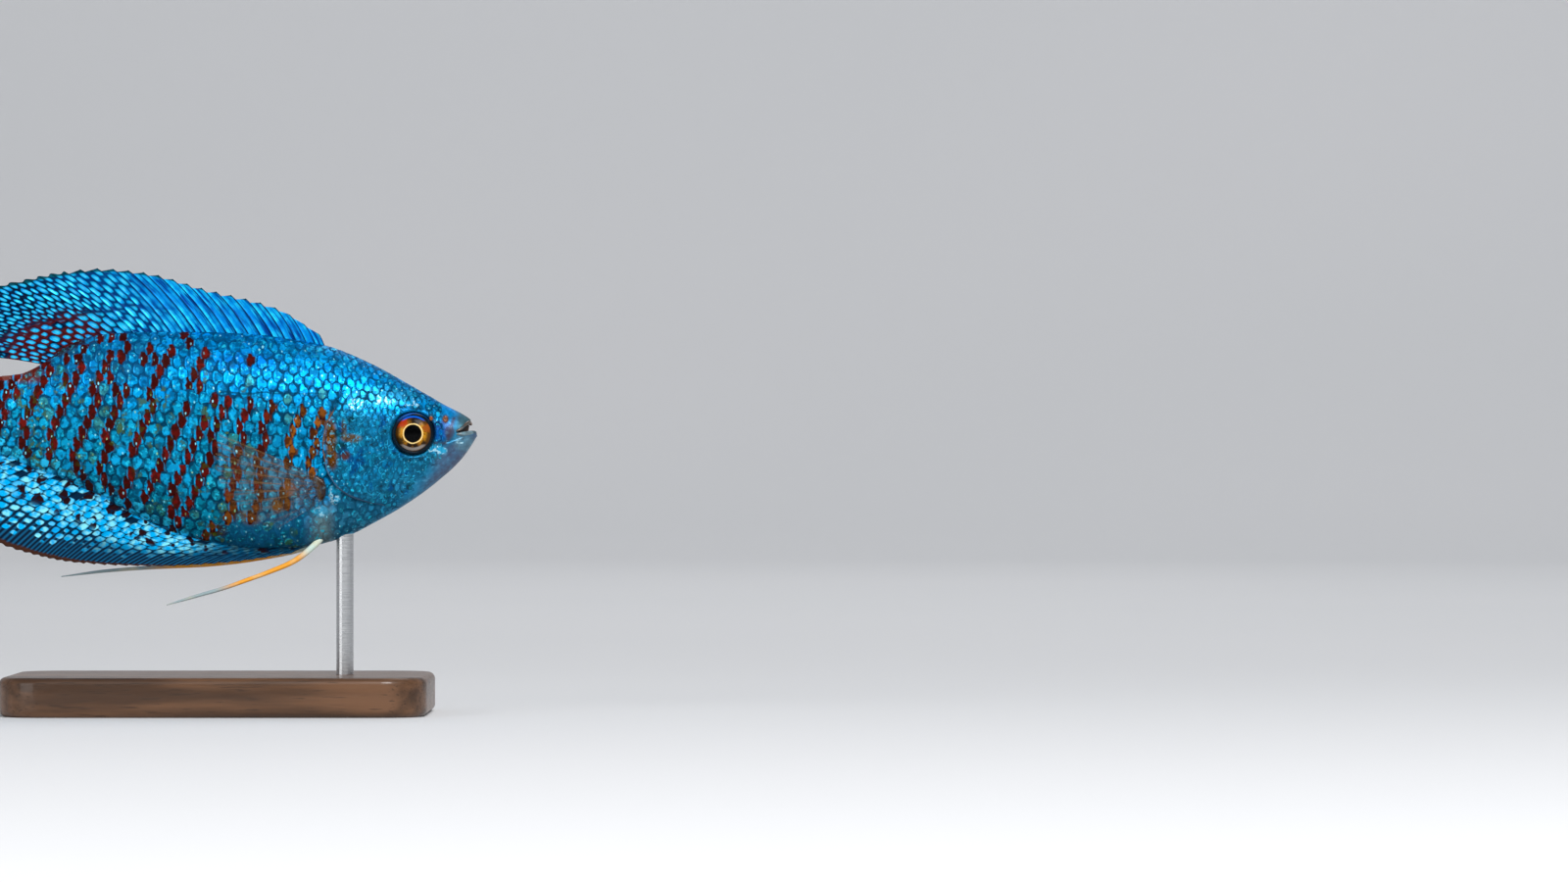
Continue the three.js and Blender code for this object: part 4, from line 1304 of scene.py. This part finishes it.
def fin_sheet(name, fin, place, finish, spines=0, notch=None, wavy=0.035, root_half=0.0, root_share=0.2):
    """A fin with a ridge on both faces along each ray. Soft rays split in two towards their tips.

    fin holds its keys and number of rays. place gives the fin's middle, notch how deep the edge is
    cut behind each spine, and wavy how far it draws back between soft rays. A fleshy root has the
    half thickness root_half and reaches up to root_share of the rays.
    """
    fins = fin_settings()
    keys, rays = fin
    columns_between = np.array([0.0, 0.05, 0.1, 0.16, 0.24, 0.34, 0.5, 0.66, 0.76, 0.84, 0.9, 0.95])
    number = np.append((np.arange(rays - 1)[:, None] + columns_between).ravel(), rays - 1.0)
    numbers, feet, tips = zip(*keys)
    foot, tip = (
        np.stack([smooth_line(list(zip(numbers, line)))(number) for line in zip(*ends)], -1)
        for ends in (feet, tips)
    )

    # How far each column reaches: full spines with notched membrane behind them, or a waving edge
    past = number - np.floor(number)
    spiny = number < spines
    reach = 1 - wavy * np.sin(math.pi * past) ** 2
    if notch:
        behind = ease(past, 0, 0.04)
        reach = np.where(spiny, behind * (1 - notch(number) * past**0.8) + (1 - behind), reach)
    share = np.linspace(0, 1, fins.rows + 1)[None, :] * reach[:, None]
    middle = place(foot[:, None, :], tip[:, None, :], share, number[:, None])

    # Ridges of the rays over the membrane
    halfway = middle[:, fins.rows // 2]
    spacing = np.linalg.norm(np.gradient(halfway, axis=0), axis=-1) / np.gradient(number)
    width = np.clip(0.26 / np.maximum(spacing, 0.3), 0.08, 0.3)[:, None]
    away = np.minimum(past, 1 - past)[:, None]
    apart = np.where(spiny[:, None], 0.0, 0.2 * ease(share, 0.35, 1.0))
    ridge = np.exp(-(((away - apart) / width) ** 2) * 1.6)
    ray = (fins.ray_root * (1 - share) + fins.ray_tip * share) / MM
    sheet = fins.membrane / MM
    half = sheet + (ray - sheet) * ridge * (1 - 0.6 * ease(share, 0.93, 1.0))
    girth = root_half * np.sqrt(1 - 0.9 * (2 * number / (rays - 1) - 1) ** 2)[:, None]
    half = np.maximum(half, girth * (1 - ease(share, 0, root_share)))

    # Both faces, and the rim that joins them
    off = half[..., None] * (0.0, 1.0, 0.0)
    points = np.concatenate([(middle + off).reshape(-1, 3), (middle - off).reshape(-1, 3)])
    faces = grid_faces(*share.shape)
    grid = np.arange(share.size).reshape(share.shape)
    loop = np.concatenate([grid[:, 0], grid[-1, 1:], grid[-2::-1, -1], grid[0, -2:0:-1]])
    after = np.roll(loop, -1)
    rim = np.stack([loop, loop + share.size, after + share.size, after], -1)
    made = make_object(name, points, np.concatenate([faces, faces[:, ::-1] + share.size, rim]), finish)
    length = np.linalg.norm(tip - foot, axis=-1)[:, None]
    kept = np.stack([number[:, None] + 0 * share, share, share * length], -1).reshape(-1, 3)
    paint(made, "ray_place", np.concatenate([kept, kept]))
    return made


class GOURAMI_OT_dorsal_fin(Operator):
    """Makes the dorsal fin"""

    bl_idname = "gourami.dorsal_fin"
    bl_label = "Dorsal fin"

    def execute(self, context):
        def sway(number):
            return 1.1 * ease(number, 14, 32)

        def notch(number):
            return 0.11 - 0.06 * ease(number, 6, 15)

        place = median_place(sway)
        made = fin_sheet(
            "fin_dorsal_dressed", (DORSAL_KEYS, DORSAL_RAYS), place, self.finish(), DORSAL_SPINES, notch
        )
        carry(made, "dorsal_fin", "fin_dorsal")
        return {"FINISHED"}

    def finish(self):
        """Streaked blue between dark spines in front, rows of dashes and dots on black behind."""
        fins = fin_settings()
        finish = membrane_finish("dorsal_membrane")
        number, share, along = finish.kept("ray_place").split()
        warp = finish.noise(900.0, 2.0)
        coarse = finish.noise(230.0, 2.0)

        # Two lanes of marks lie between spines, and one that splits in two between soft rays
        spiny = 1 - number.ease(16.9, 17.1)
        forking = share + finish.chance(number.whole()) * 0.14
        fork = forking.ease(0.45, 0.4502)
        lane = number * (spiny.most(fork) + 1.0)
        which = lane.whole()
        across = lane.part() + (warp - 0.5) * 0.3
        low = number.ease(19.0, 24.0)
        run = (along + (warp - 0.5) * 0.8) / (1.9 - low * 0.55)
        run = run + finish.chance(which) * 0.3 + (which * 0.5).part()
        size = finish.chance(which, run.whole(), 5.0) * 0.35 + 0.87 - low * 0.13
        centre_off = mark_away(run, across, size * 0.38, size * 0.4)
        marks = (1 - centre_off.ease(0.7, 1.15)) * (1 - forking.bell(0.45, 0.045))

        # The front's streaks, broken halfway up, give way to the marks
        streak = finish.noise(1.0, 2.0, finish.vector(number * 2.4, along * 0.32, 1.0))
        dashed = (number + (coarse - 0.5) * 5.0).ease(11.5, 15.5)
        level = share + (coarse - 0.5) * 0.7 + (finish.chance(which, 3.0) - 0.5) * 0.35
        strokes = (1 - (across - 0.5).size().ease(0.28, 0.48)) * streak.ease(0.32, 0.55)
        strokes = strokes * (1 - level.bell(0.45, 0.28) * 0.75)
        lit = strokes * (1 - dashed) + marks * dashed
        blue = finish.mix(streak.ease(0.35, 0.6), (0.0, 0.05, 0.27), (0.0, 0.2, 0.66))
        shade = finish.mix(number.ease(16.0, 21.0), (0.0, 0.03, 0.14), fins.night)
        ground = finish.mix(dashed * 0.95, blue, shade)
        bright = finish.mix(warp.ease(0.35, 0.65), (0.0, 0.27, 0.68), fins.dash)
        bright = finish.mix(dashed * (1 - centre_off.ease(0.1, 0.7)) * 0.6, bright, (0.1, 0.72, 1.0))
        colour = finish.mix(lit, ground, bright)

        # Dark spines, the dark red root behind, and the thin dark edge
        past = number.part()
        spine = 1 - past.least(1 - past).ease(0.03, 0.12)
        colour = finish.mix(spine * (0.9 - dashed * 0.4), colour, (0.0, 0.012, 0.05))
        red = number.ease(18.0, 23.0) * (1 - share.ease(0.25, 0.55))
        root = red * finish.chance(which, run.whole()).ease(0.1, 0.25)
        colour = finish.mix(root * (1 - lit), colour, fins.maroon)
        edge = (share + (warp - 0.5) * 0.05).ease(0.92, 0.96)
        colour = finish.mix(edge * 0.9, colour, (0.0, 0.035, 0.045))
        finish.feed(base_color=colour, roughness=lit.ease(0.0, 1.0, 0.45, 0.3))
        return finish.material


class GOURAMI_OT_anal_fin(Operator):
    """Makes the anal fin"""

    bl_idname = "gourami.anal_fin"
    bl_label = "Anal fin"

    def execute(self, context):
        def sway(number):
            return -1.0 * ease(number, 16, 37)

        def notch(number):
            return 0.09 - 0.06 * ease(number, 3, 12)

        place = median_place(sway)
        made = fin_sheet(
            "fin_anal_dressed", (ANAL_KEYS, ANAL_RAYS), place, self.finish(), ANAL_SPINES, notch, 0.015
        )
        carry(made, "anal_fin", "fin_anal")
        return {"FINISHED"}

    def finish(self):
        """Bricks of pale blue that thin out from the root, fine dark rays, then a thin brown edge."""
        fins = fin_settings()
        finish = membrane_finish("anal_membrane")
        number, share, along = finish.kept("ray_place").split()
        warp = finish.noise(1100.0, 2.0)
        coarse = finish.noise(260.0, 2.0)

        # One row of bricks between two rays
        across = number.part() + (warp - 0.5) * 0.3
        ray = number.whole()
        run = (along + (warp - 0.5) * 0.35) / 1.08 + (ray * 0.5).part() + finish.chance(ray) * 0.25
        cell = finish.chance(ray, run.whole())
        level = share + (cell - 0.5) * 0.25
        size = 1 - level.ease(0.42, 0.84) * 0.5
        inner = 1 - mark_away(run, across, size * 0.49, size * 0.54, 3.0, 0.333).ease(0.72, 1.12)
        kept = (cell + share * 0.1).ease(0.03, 0.05) * (1 - level.ease(0.74, 0.8))
        rear = number.ease(8.0, 13.0)
        front_half = 1 - number.ease(16.0, 25.0)
        brick = inner * kept * (rear * 0.85 + 0.15) * (1 - share.ease(0.4, 0.7) * front_half * 0.75)

        # The ground between them, with dark blots among the root's bricks
        between = (number * 2.0).part().bell(0.5, 0.4)
        fringe = finish.mix(between, (0.003, 0.012, 0.03), (0.006, 0.1, 0.22))
        ground = finish.mix(share.ease(0.5, 0.75), (0.001, 0.018, 0.05), fringe)
        blot = (finish.noise(520.0, 1.5) + (cell - 0.5) * 0.12).ease(0.56, 0.6)
        brick = brick * (1 - blot * (1 - share.ease(0.4, 0.55)))
        ground = finish.mix(blot * (1 - share.ease(0.4, 0.6)) * inner, ground, (0.02, 0.004, 0.006))
        pale = finish.mix(warp.ease(0.42, 0.66), (0.0, 0.46, 0.95), (0.26, 0.86, 1.0))
        pale = finish.mix(coarse.ease(0.5, 0.7) * share.ease(0.15, 0.5), pale, (0.0, 0.4, 0.9))
        colour = finish.mix(brick, ground, pale)
        edge = (share + (warp - 0.5) * 0.05).ease(0.93, 0.96)
        colour = finish.mix(edge * (rear * 0.6 + 0.4), colour, fins.margin)
        finish.feed(base_color=colour, roughness=brick.ease(0.0, 1.0, 0.45, 0.28))
        return finish.material


class GOURAMI_OT_caudal_fin(Operator):
    """Makes the tail fin"""

    bl_idname = "gourami.caudal_fin"
    bl_label = "Tail fin"

    def execute(self, context):
        def place(foot, tip, share, number):
            along = tip - foot
            root_shift = 0.7 * (1 - share[..., None]) ** 3 * (1.0, 0.0)
            spot = foot + along * share[..., None] + root_shift
            y = 0.8 * share**2 * np.cos((number - 4) * 0.35)
            return np.stack([spot[..., 0], y, spot[..., 1]], -1)

        made = fin_sheet(
            "fin_caudal_dressed", (CAUDAL_KEYS, CAUDAL_RAYS), place, self.finish(),
            root_half=0.75, root_share=0.35,
        )
        carry(made, "tail_fin", "fin_caudal")
        return {"FINISHED"}

    def finish(self):
        """Rows of pale blue spots on dark red and blue, with an orange-red edge."""
        fins = fin_settings()
        finish = membrane_finish("tail_membrane")
        number, share, along = finish.kept("ray_place").split()
        warp = finish.noise(900.0, 2.0)
        across = number.part() + (warp - 0.5) * 0.2
        ray = number.whole()
        run = (along + warp * 0.5) / 1.7 + (ray * 0.5).part() + finish.chance(ray) * 0.3
        spots = 1 - mark_away(run, across, 0.34, 0.36).ease(0.7, 1.15)
        spots = spots * (1 - (share + (finish.chance(ray, run.whole()) - 0.5) * 0.12).ease(0.82, 0.86))
        ground = finish.mix(share.ease(0.05, 0.6), (0.07, 0.006, 0.008), fins.night)
        spot_blue = finish.mix(warp.ease(0.35, 0.65), (0.0, 0.4, 0.9), fins.dash)
        colour = finish.mix(spots, ground, spot_blue)
        colour = finish.mix(share.ease(0.92, 0.98), colour, (0.16, 0.03, 0.012))
        finish.feed(base_color=colour, roughness=spots.ease(0.0, 1.0, 0.42, 0.28))
        return finish.material


class GOURAMI_OT_pectoral_fins(Operator):
    """Makes the two clear pectoral fins"""

    bl_idname = "gourami.pectoral_fins"
    bl_label = "Pectoral fins"

    # How far the root and each fin's tips stand off the body
    root_off = 0.45
    tips_off = {"left": 3.4, "right": 1.9}

    def execute(self, context):
        finish = self.finish()
        for name, side in SIDES:
            made = fin_sheet(
                f"fin_pectoral_{name}_dressed", (PECTORAL_KEYS, PECTORAL_RAYS),
                self.place_on(side, self.tips_off[name]), finish, root_half=0.8, root_share=0.24,
            )
            carry(made, "clear_fin", f"fin_pectoral_{name}")
        return {"FINISHED"}

    def place_on(self, side, tip_off):
        """Middle of the fin on one side."""

        def place(foot, tip, share, number):
            spot = foot + (tip - foot) * share[..., None]
            x, z = spot[..., 0], spot[..., 1]
            off = self.root_off + (tip_off - self.root_off) * share**1.2
            return np.stack([x, side * (flank_at(x, z) + off), z], -1)

        return place

    def finish(self):
        """Clear membrane between thin brown rays, with a faint orange cloud."""
        finish = Finish("clear_membrane", roughness=0.3, specular=0.15, coat=0.12)
        number, share, _ = finish.kept("ray_place").split()
        past = number.part()
        apart = share.ease(0.35, 1.0) * 0.2
        near = (past.least(1 - past) - apart).size()
        ray = 1 - near.ease(0.03, 0.1)
        root = 1 - share.ease(0.02, 0.13)
        middle = share.bell(0.36, 0.34) * number.bell(5.0, 4.0)
        cloud = middle * finish.noise(420.0, 2.0).ease(0.42, 0.6)
        colour = finish.mix(cloud, (0.22, 0.13, 0.05), (0.3, 0.1, 0.008))
        colour = finish.mix(ray, colour, (0.17, 0.08, 0.025))
        mottle = finish.noise(900.0, 2.0).ease(0.5, 0.62)
        colour = finish.mix(root, colour, finish.mix(mottle, (0.03, 0.012, 0.006), (0.07, 0.16, 0.2)))
        clear = (ray * 0.45 + 0.1) * (1 - share.ease(0.3, 1.0) * 0.6) * number.ease(4.0, 9.0, 1.0, 0.45)
        finish.feed(base_color=colour, alpha=clear.most(root * 0.9).most(cloud * 0.34))
        return finish.material


class GOURAMI_OT_pelvic_fins(Operator):
    """Makes the two thread-like pelvic fins"""

    bl_idname = "gourami.pelvic_fins"
    bl_label = "Pelvic threads"

    steps = 160
    sides = 14
    radii = ((0, 0.46), (0.14, 0.4), (0.3, 0.33), (0.5, 0.28), (0.85, 0.2), (1, 0.06))

    def execute(self, context):
        finish = self.finish()
        share = np.linspace(0, 1, self.steps)
        radii = smooth_line(self.radii)(share)
        for (name, side), points in zip(SIDES, (PELVIC_LEFT, PELVIC_RIGHT)):
            line = curve_through(points, self.steps) * (1, side, 1)
            made = tube(f"fin_pelvic_{name}_dressed", line, radii, self.sides, finish)
            each = np.repeat(share, self.sides)
            paint(made, "thread_place", np.stack([each, each * 0, each * 0], -1))
            carry(made, "pelvic_thread", f"fin_pelvic_{name}")
        return {"FINISHED"}

    def finish(self):
        """White at the root, orange along the middle, pale blue-grey at the tip."""
        finish = Finish("pelvic_thread", roughness=0.35, coat=0.4)
        warp = finish.noise(350.0, 3.0)
        share = finish.kept("thread_place").split()[0] + (warp - 0.5) * 0.06
        colour = finish.mix(share.ease(0.1, 0.22), (0.55, 0.72, 0.66), fin_settings().thread)
        colour = finish.mix(share.ease(0.55, 0.72), colour, (0.3, 0.4, 0.42))
        colour = finish.mix(warp.ease(0.5, 0.7) * 0.45, colour, (0.75, 0.62, 0.35))
        finish.feed(base_color=colour)
        return finish.material


class GOURAMI_OT_eyes(Operator):
    """Makes the two eyes and the dark rings that they sit in"""

    bl_idname = "gourami.eyes"
    bl_label = "Eyes"

    # How deep the middle is sunk, and how far the ball reaches out of it and back into the head
    sunk = 0.5
    bulge = 1.25
    depth = 1.9
    rings = 26
    around = 96

    # The ring round the eye
    ring_radius = 2.42
    ring_half = 0.22

    def execute(self, context):
        finish, rim_finish = self.finish(), self.rim_finish()
        for name, side in SIDES:
            carry(self.ball(f"eye_{name}_dressed", side, finish), "eye", f"eye_{name}")
            line = circle(EYE_X, EYE_Z, self.ring_radius, self.around)
            line = [(x, side * (float(flank_at(x, z)) + 0.02), z) for x, z in (*line, line[0])]
            radii = np.full(len(line), self.ring_half)
            carry(tube(f"eye_ring_{name}", line, radii, 12, rim_finish), "head_skin")
        return {"FINISHED"}

    def ball(self, name, side, finish):
        """Rings of points from the front pole to the one in the head, then the two poles."""
        centre = float(flank_at(EYE_X, EYE_Z)) - self.sunk
        points = []
        for turn in np.linspace(math.pi / 2, -math.pi / 2, self.rings)[1:-1]:
            depth = self.bulge if turn > 0 else self.depth
            y = side * (centre + depth * math.sin(turn))
            ring = circle(EYE_X, EYE_Z, EYE_RADIUS * math.cos(turn), self.around)
            points += [(x, y, z) for x, z in ring]
        front = len(points)
        points += [(EYE_X, side * (centre + out), EYE_Z) for out in (self.bulge, -self.depth)]
        faces = [*grid_faces(self.rings - 2, self.around, close=True)]
        for j in range(self.around):
            after = (j + 1) % self.around
            faces.append((front, j, after))
            faces.append((front + 1, front - self.around + after, front - self.around + j))
        return make_object(name, points, faces, finish)

    def finish(self):
        """Black pupil, a thin pale ring, then gold and brown with red and black patches, and painted grey
        and blue sheens.
        """
        eyes = bpy.context.scene.gourami_eyes
        pupil, iris = eyes.pupil / MM, eyes.iris / MM
        finish = Finish("eye", roughness=0.25, specular=0.05, coat=0.06)
        x, z = finish.side_view()
        right, up = x - EYE_X, z - EYE_Z
        radius = (right**2.0 + up**2.0).root()
        warp = finish.noise(1300.0, 3.0)
        spoke = finish.vector(right / radius * 11.0, up / radius * 11.0, radius * 3.0)
        threads = finish.noise(1.0, 3.0, spoke)
        reach = radius + (warp - 0.5) * 0.2

        # Gold at the sides, with dark threads, and brown outside
        gold = finish.mix((right / radius).size().ease(0.35, 0.85), (0.3, 0.12, 0.01), eyes.gold)
        dull = 1 - (threads * 0.6 + warp * 0.4).ease(0.36, 0.56) * 0.8
        gold = finish.mix(dull, gold, (0.14, 0.055, 0.004))
        outer = (reach + (threads - 0.5) * 0.35).ease(pupil + 0.35, pupil + 0.9)
        colour = finish.mix(outer, gold, eyes.brown)

        # Patches of the iris: place from the middle, half size and colour
        patches = (
            ((-1.35, 1.35), 0.95, (0.4, 0.035, 0.006)),
            ((1.8, 0.75), 0.8, (0.3, 0.07, 0.008)),
            ((0.3, 1.6), 1.1, (0.006, 0.004, 0.004)),
            ((-0.45, -1.45), 0.6, (0.004, 0.003, 0.003)),
            ((0.4, -1.5), 0.62, (0.004, 0.003, 0.003)),
            ((1.35, -1.4), 0.6, (0.02, 0.01, 0.004)),
            ((-1.75, -0.95), 0.85, (0.035, 0.02, 0.005)),
        )
        for (at_right, at_up), size, tint in patches:
            away = ((right - at_right) ** 2.0 + (up - at_up) ** 2.0).root()
            away = away + (warp - 0.5) * 0.9 + (threads - 0.5) * 0.5
            colour = finish.mix((1 - away.ease(size * 0.35, size)) * 0.95, colour, tint)

        # A painted grey sheen below, a painted blue sheen above, the pale ring, the pupil and the dark
        # surround
        below = (-up).ease(1.25, 1.6) * radius.ease(iris - 0.5, iris - 0.35)
        below = below * (1 - radius.ease(iris - 0.12, iris))
        colour = finish.mix(below * 0.9, colour, (0.27, 0.24, 0.22))
        above = up.ease(1.5, 1.85) * radius.ease(iris - 0.25, iris - 0.1)
        colour = finish.mix(above, colour, (0.0, 0.1, 0.6))
        colour = finish.mix(reach.bell(pupil + 0.1, 0.14), colour, (0.95, 0.7, 0.28))
        inside = 1 - radius.ease(pupil - 0.04, pupil + 0.04)
        colour = finish.mix(inside, colour, (0.0003, 0.0003, 0.0004))
        colour = finish.mix(radius.ease(iris - 0.05, iris + 0.1), colour, (0.002, 0.008, 0.014))
        finish.feed(base_color=colour)
        return finish.material

    def rim_finish(self):
        """Near black, and deep blue above the eye."""
        finish = Finish("eye_rim", roughness=0.35, specular=0.1)
        up = finish.side_view()[1] - EYE_Z + (finish.noise(600.0, 2.0) - 0.5)
        finish.feed(base_color=finish.mix(up.ease(1.2, 2.4), (0.001, 0.008, 0.016), (0.0, 0.07, 0.32)))
        return finish.material


class GOURAMI_OT_face(Operator):
    """Makes the lips, the nostrils and the rolled edges of the gill covers"""

    bl_idname = "gourami.face"
    bl_label = "Lips, nostrils and gill edges"

    # Each lip from the mouth's corner to its front, as (x, z, share of the head's half width there)
    upper_lip = (
        (37.25, 35.98, 1.0), (37.9, 36.3, 1.0), (38.5, 36.9, 0.97), (38.85, 37.14, 0.8),
        (39.05, 36.88, 0.0),
    )
    lower_lip = (
        (37.3, 35.62, 1.0), (38.1, 35.66, 0.97), (38.9, 35.75, 0.85), (39.35, 35.8, 0.5),
        (39.45, 35.8, 0.0),
    )
    lip_steps = 81
    lip_swell = ((0, 1.0), (0.6, 1.0), (0.9, 0.7), (1, 0.3))

    # A nostril's section from its middle outwards, as (share of its radius, how far it stands out)
    nostril_section = (
        (0.0, -0.02), (0.25, 0.02), (0.45, 0.06), (0.7, 0.07), (0.95, 0.03), (1.15, -0.06), (1.25, -0.3),
    )
    nostril_around = 24

    def execute(self, context):
        upper = self.flesh("lip_upper_flesh", (0.13, 0.055, 0.02), (0.04, 0.06, 0.065))
        carry(self.lip("lip_upper", self.upper_lip, 0.2, upper), "head_skin")
        lower = self.flesh("lip_lower_flesh", (0.16, 0.3, 0.36), (0.09, 0.12, 0.13))
        carry(self.lip("lip_lower", self.lower_lip, 0.3, lower), "head_skin")
        # Painted shade: the mouth's lining is near black, for the shade inside the gape
        dark = self.flesh("mouth_lining_painted_shade", (0.003, 0.004, 0.006), (0.03, 0.015, 0.01))
        carry(prism("mouth_lining", MOUTH_FLOOR, 0.55, dark), "head_skin")
        rims = self.flesh("nostril_flesh", (0.34, 0.075, 0.008), (0.16, 0.05, 0.02))
        edge = self.gill_flesh()
        for side_name, side in SIDES:
            for number, (x, z, radius) in enumerate(NOSTRILS):
                made = self.nostril(f"nostril_{side_name}_{number}", x, z, radius, side, rims)
                carry(made, "head_skin")
            carry(self.gill_edge(f"gill_edge_{side_name}", side, edge), "head_skin")
        return {"FINISHED"}

    def flesh(self, name, tint, shade):
        """Wet flesh in two mottled colours."""
        finish = Finish(name, roughness=0.3, coat=0.5)
        finish.feed(base_color=finish.mix(finish.noise(700.0, 3.0).ease(0.35, 0.65), tint, shade))
        return finish.material

    def lip(self, name, points, radius, finish):
        """A soft roll along one jaw, from one corner of the mouth round the front to the other."""
        half = [(x, share * max(0.0, float(flank_at(x, z)) - 0.12), z) for x, z, share in points]
        whole = half + [(x, -y, z) for x, y, z in half[-2::-1]]
        line = curve_through(whole, self.lip_steps)
        from_front = np.abs(np.linspace(-1, 1, self.lip_steps))
        return tube(name, line, radius * smooth_line(self.lip_swell)(from_front), 16, finish)

    def nostril(self, name, x, z, radius, side, finish):
        """A short rimmed tube set in the skin."""
        base = float(flank_at(x, z))
        points = []
        for share, out in self.nostril_section:
            ring = circle(x, z, radius * share, self.nostril_around, tall=1.3)
            points += [(at_x, side * (base + out), at_z) for at_x, at_z in ring]
        faces = [*grid_faces(len(self.nostril_section), self.nostril_around, close=True)]
        faces.append(range(len(points) - self.nostril_around, len(points)))
        return make_object(name, points, faces, finish)

    def gill_flesh(self):
        """Brown above, pale blue-grey where the soft flap shows, blue below."""
        finish = Finish("gill_membrane", roughness=0.35, coat=0.4)
        level = finish.side_view()[1] + (finish.noise(500.0, 2.0) - 0.5) * 2.0
        colour = finish.mix(level.ease(31.2, 32.6), (0.04, 0.14, 0.26), (0.14, 0.055, 0.012))
        colour = finish.mix(level.ease(38.0, 40.5), colour, (0.01, 0.1, 0.2))
        colour = finish.mix(1 - level.ease(28.0, 29.6), colour, (0.002, 0.04, 0.09))
        finish.feed(base_color=colour)
        return finish.material

    def gill_edge(self, name, side, finish):
        """A thin rolled edge along the gill cover."""
        z = np.linspace(26.6, 40.2, 120)
        x = gill_x_at(z)
        full = ease(z, 26.6, 27.6) * (1 - ease(z, 38.0, 40.2))
        y = flank_at(x, z) - 0.2 * (1 - full)
        return tube(name, np.stack([x + 0.12, side * y, z], -1), 0.05 + 0.13 * full, 12, finish)


class GOURAMI_OT_stand(Operator):
    """Makes the wooden base and finishes the steel rod"""

    bl_idname = "gourami.stand"
    bl_label = "Stand"

    corner_radius = 6.0
    around = 96
    bevel_steps = 9

    def execute(self, context):
        carry(self.base(), "stand_wood", "stand_base")
        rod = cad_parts["stand_rod"]
        steel = Finish("stand_rod_steel", roughness=0.3, metallic=1.0)
        x, y, z = steel.place().split()
        lines = steel.noise(1.0, 2.0, steel.vector(x * 300.0, y * 300.0, z * 9000.0))
        steel.feed(
            base_color=steel.mix(lines, (0.5, 0.51, 0.52), (0.66, 0.67, 0.68)),
            roughness=lines.ease(0.3, 0.7, 0.24, 0.38),
        )
        steel.bump(lines, 0.2, 0.02)
        rod.data.materials.clear()
        rod.data.materials.append(steel.material)
        return {"FINISHED"}

    def base(self):
        """The base, with finer rounding than its solid."""
        low, high = (np.array(corner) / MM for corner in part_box("stand_base"))
        middle, half = (low + high) / 2, (high - low) / 2
        bevel = bpy.context.scene.gourami_stand.bevel / MM
        steps = np.linspace(0, math.pi / 2, self.bevel_steps)
        rings = [(-bevel * (1 - math.sin(t)), low[2] + bevel * (1 - math.cos(t))) for t in steps]
        rings += [(-bevel * (1 - math.cos(t)), high[2] - bevel * (1 - math.sin(t))) for t in steps]
        points = []
        for inset, z in rings:
            radius = self.corner_radius + inset
            for turn in np.linspace(0, 2 * math.pi, self.around, endpoint=False):
                way = np.array((math.cos(turn), math.sin(turn)))
                x, y = middle[:2] + np.copysign(half[:2] - self.corner_radius, way) + radius * way
                points.append((x, y, z))
        last = len(points) - self.around
        faces = grid_faces(len(rings), self.around, close=True)
        ends = range(self.around), range(last, len(points))
        return make_object("stand_base_wood", points, [*faces, *ends], self.wood())

    def wood(self):
        """Walnut with grain along its length."""
        finish = Finish("walnut", roughness=0.42, coat=0.25)
        x, y, z = finish.place().split()
        wander = finish.noise(18.0, 3.0)
        rings = finish.noise(1.0, 4.0, finish.vector(x * 30.0, y * 420.0 + wander * 3.0, z * 420.0))
        pores = finish.noise(1.0, 2.0, finish.vector(x * 260.0, y * 3800.0, z * 3800.0))
        walnut = bpy.context.scene.gourami_stand.walnut
        dark, darkest = (tuple(share * c for c in walnut) for share in (0.36, 0.15))
        colour = finish.mix(rings.ease(0.32, 0.68), dark, walnut)
        colour = finish.mix(pores.ease(0.58, 0.72) * 0.6, colour, darkest)
        finish.feed(base_color=colour, roughness=pores.ease(0.4, 0.7, 0.38, 0.55))
        finish.bump(pores, 0.15, 0.05)
        return finish.material


class GOURAMI_PT_panel(Panel):
    """Lists the pieces of the fish"""

    bl_label = "Dwarf Gourami"
    bl_space_type = "VIEW_3D"
    bl_region_type = "UI"
    bl_category = "Gourami"

    def draw(self, context):
        for operator in PIECES:
            self.layout.operator(operator.bl_idname)
        for group in SETTINGS:
            settings = getattr(context.scene, group)
            box = self.layout.box()
            for key in settings.__annotations__:
                box.prop(settings, key)


SETTINGS = {
    "gourami_body": GouramiBody,
    "gourami_fins": GouramiFins,
    "gourami_eyes": GouramiEyes,
    "gourami_stand": GouramiStand,
    "gourami_studio": GouramiStudio,
}
PIECES = (
    GOURAMI_OT_studio,
    GOURAMI_OT_skin,
    GOURAMI_OT_scales,
    GOURAMI_OT_face,
    GOURAMI_OT_eyes,
    GOURAMI_OT_dorsal_fin,
    GOURAMI_OT_anal_fin,
    GOURAMI_OT_caudal_fin,
    GOURAMI_OT_pectoral_fins,
    GOURAMI_OT_pelvic_fins,
    GOURAMI_OT_stand,
)


def register():
    for made in (*SETTINGS.values(), *PIECES, GOURAMI_PT_panel):
        bpy.utils.register_class(made)
    for name, group in SETTINGS.items():
        setattr(bpy.types.Scene, name, PointerProperty(type=group))


def unregister():
    for name in SETTINGS:
        delattr(bpy.types.Scene, name)
    for made in (GOURAMI_PT_panel, *reversed(PIECES), *SETTINGS.values()):
        bpy.utils.unregister_class(made)


def main():
    register()
    for operator in PIECES:
        group, name = operator.bl_idname.split(".")
        getattr(getattr(bpy.ops, group), name)()


if __name__ == "__main__":
    main()
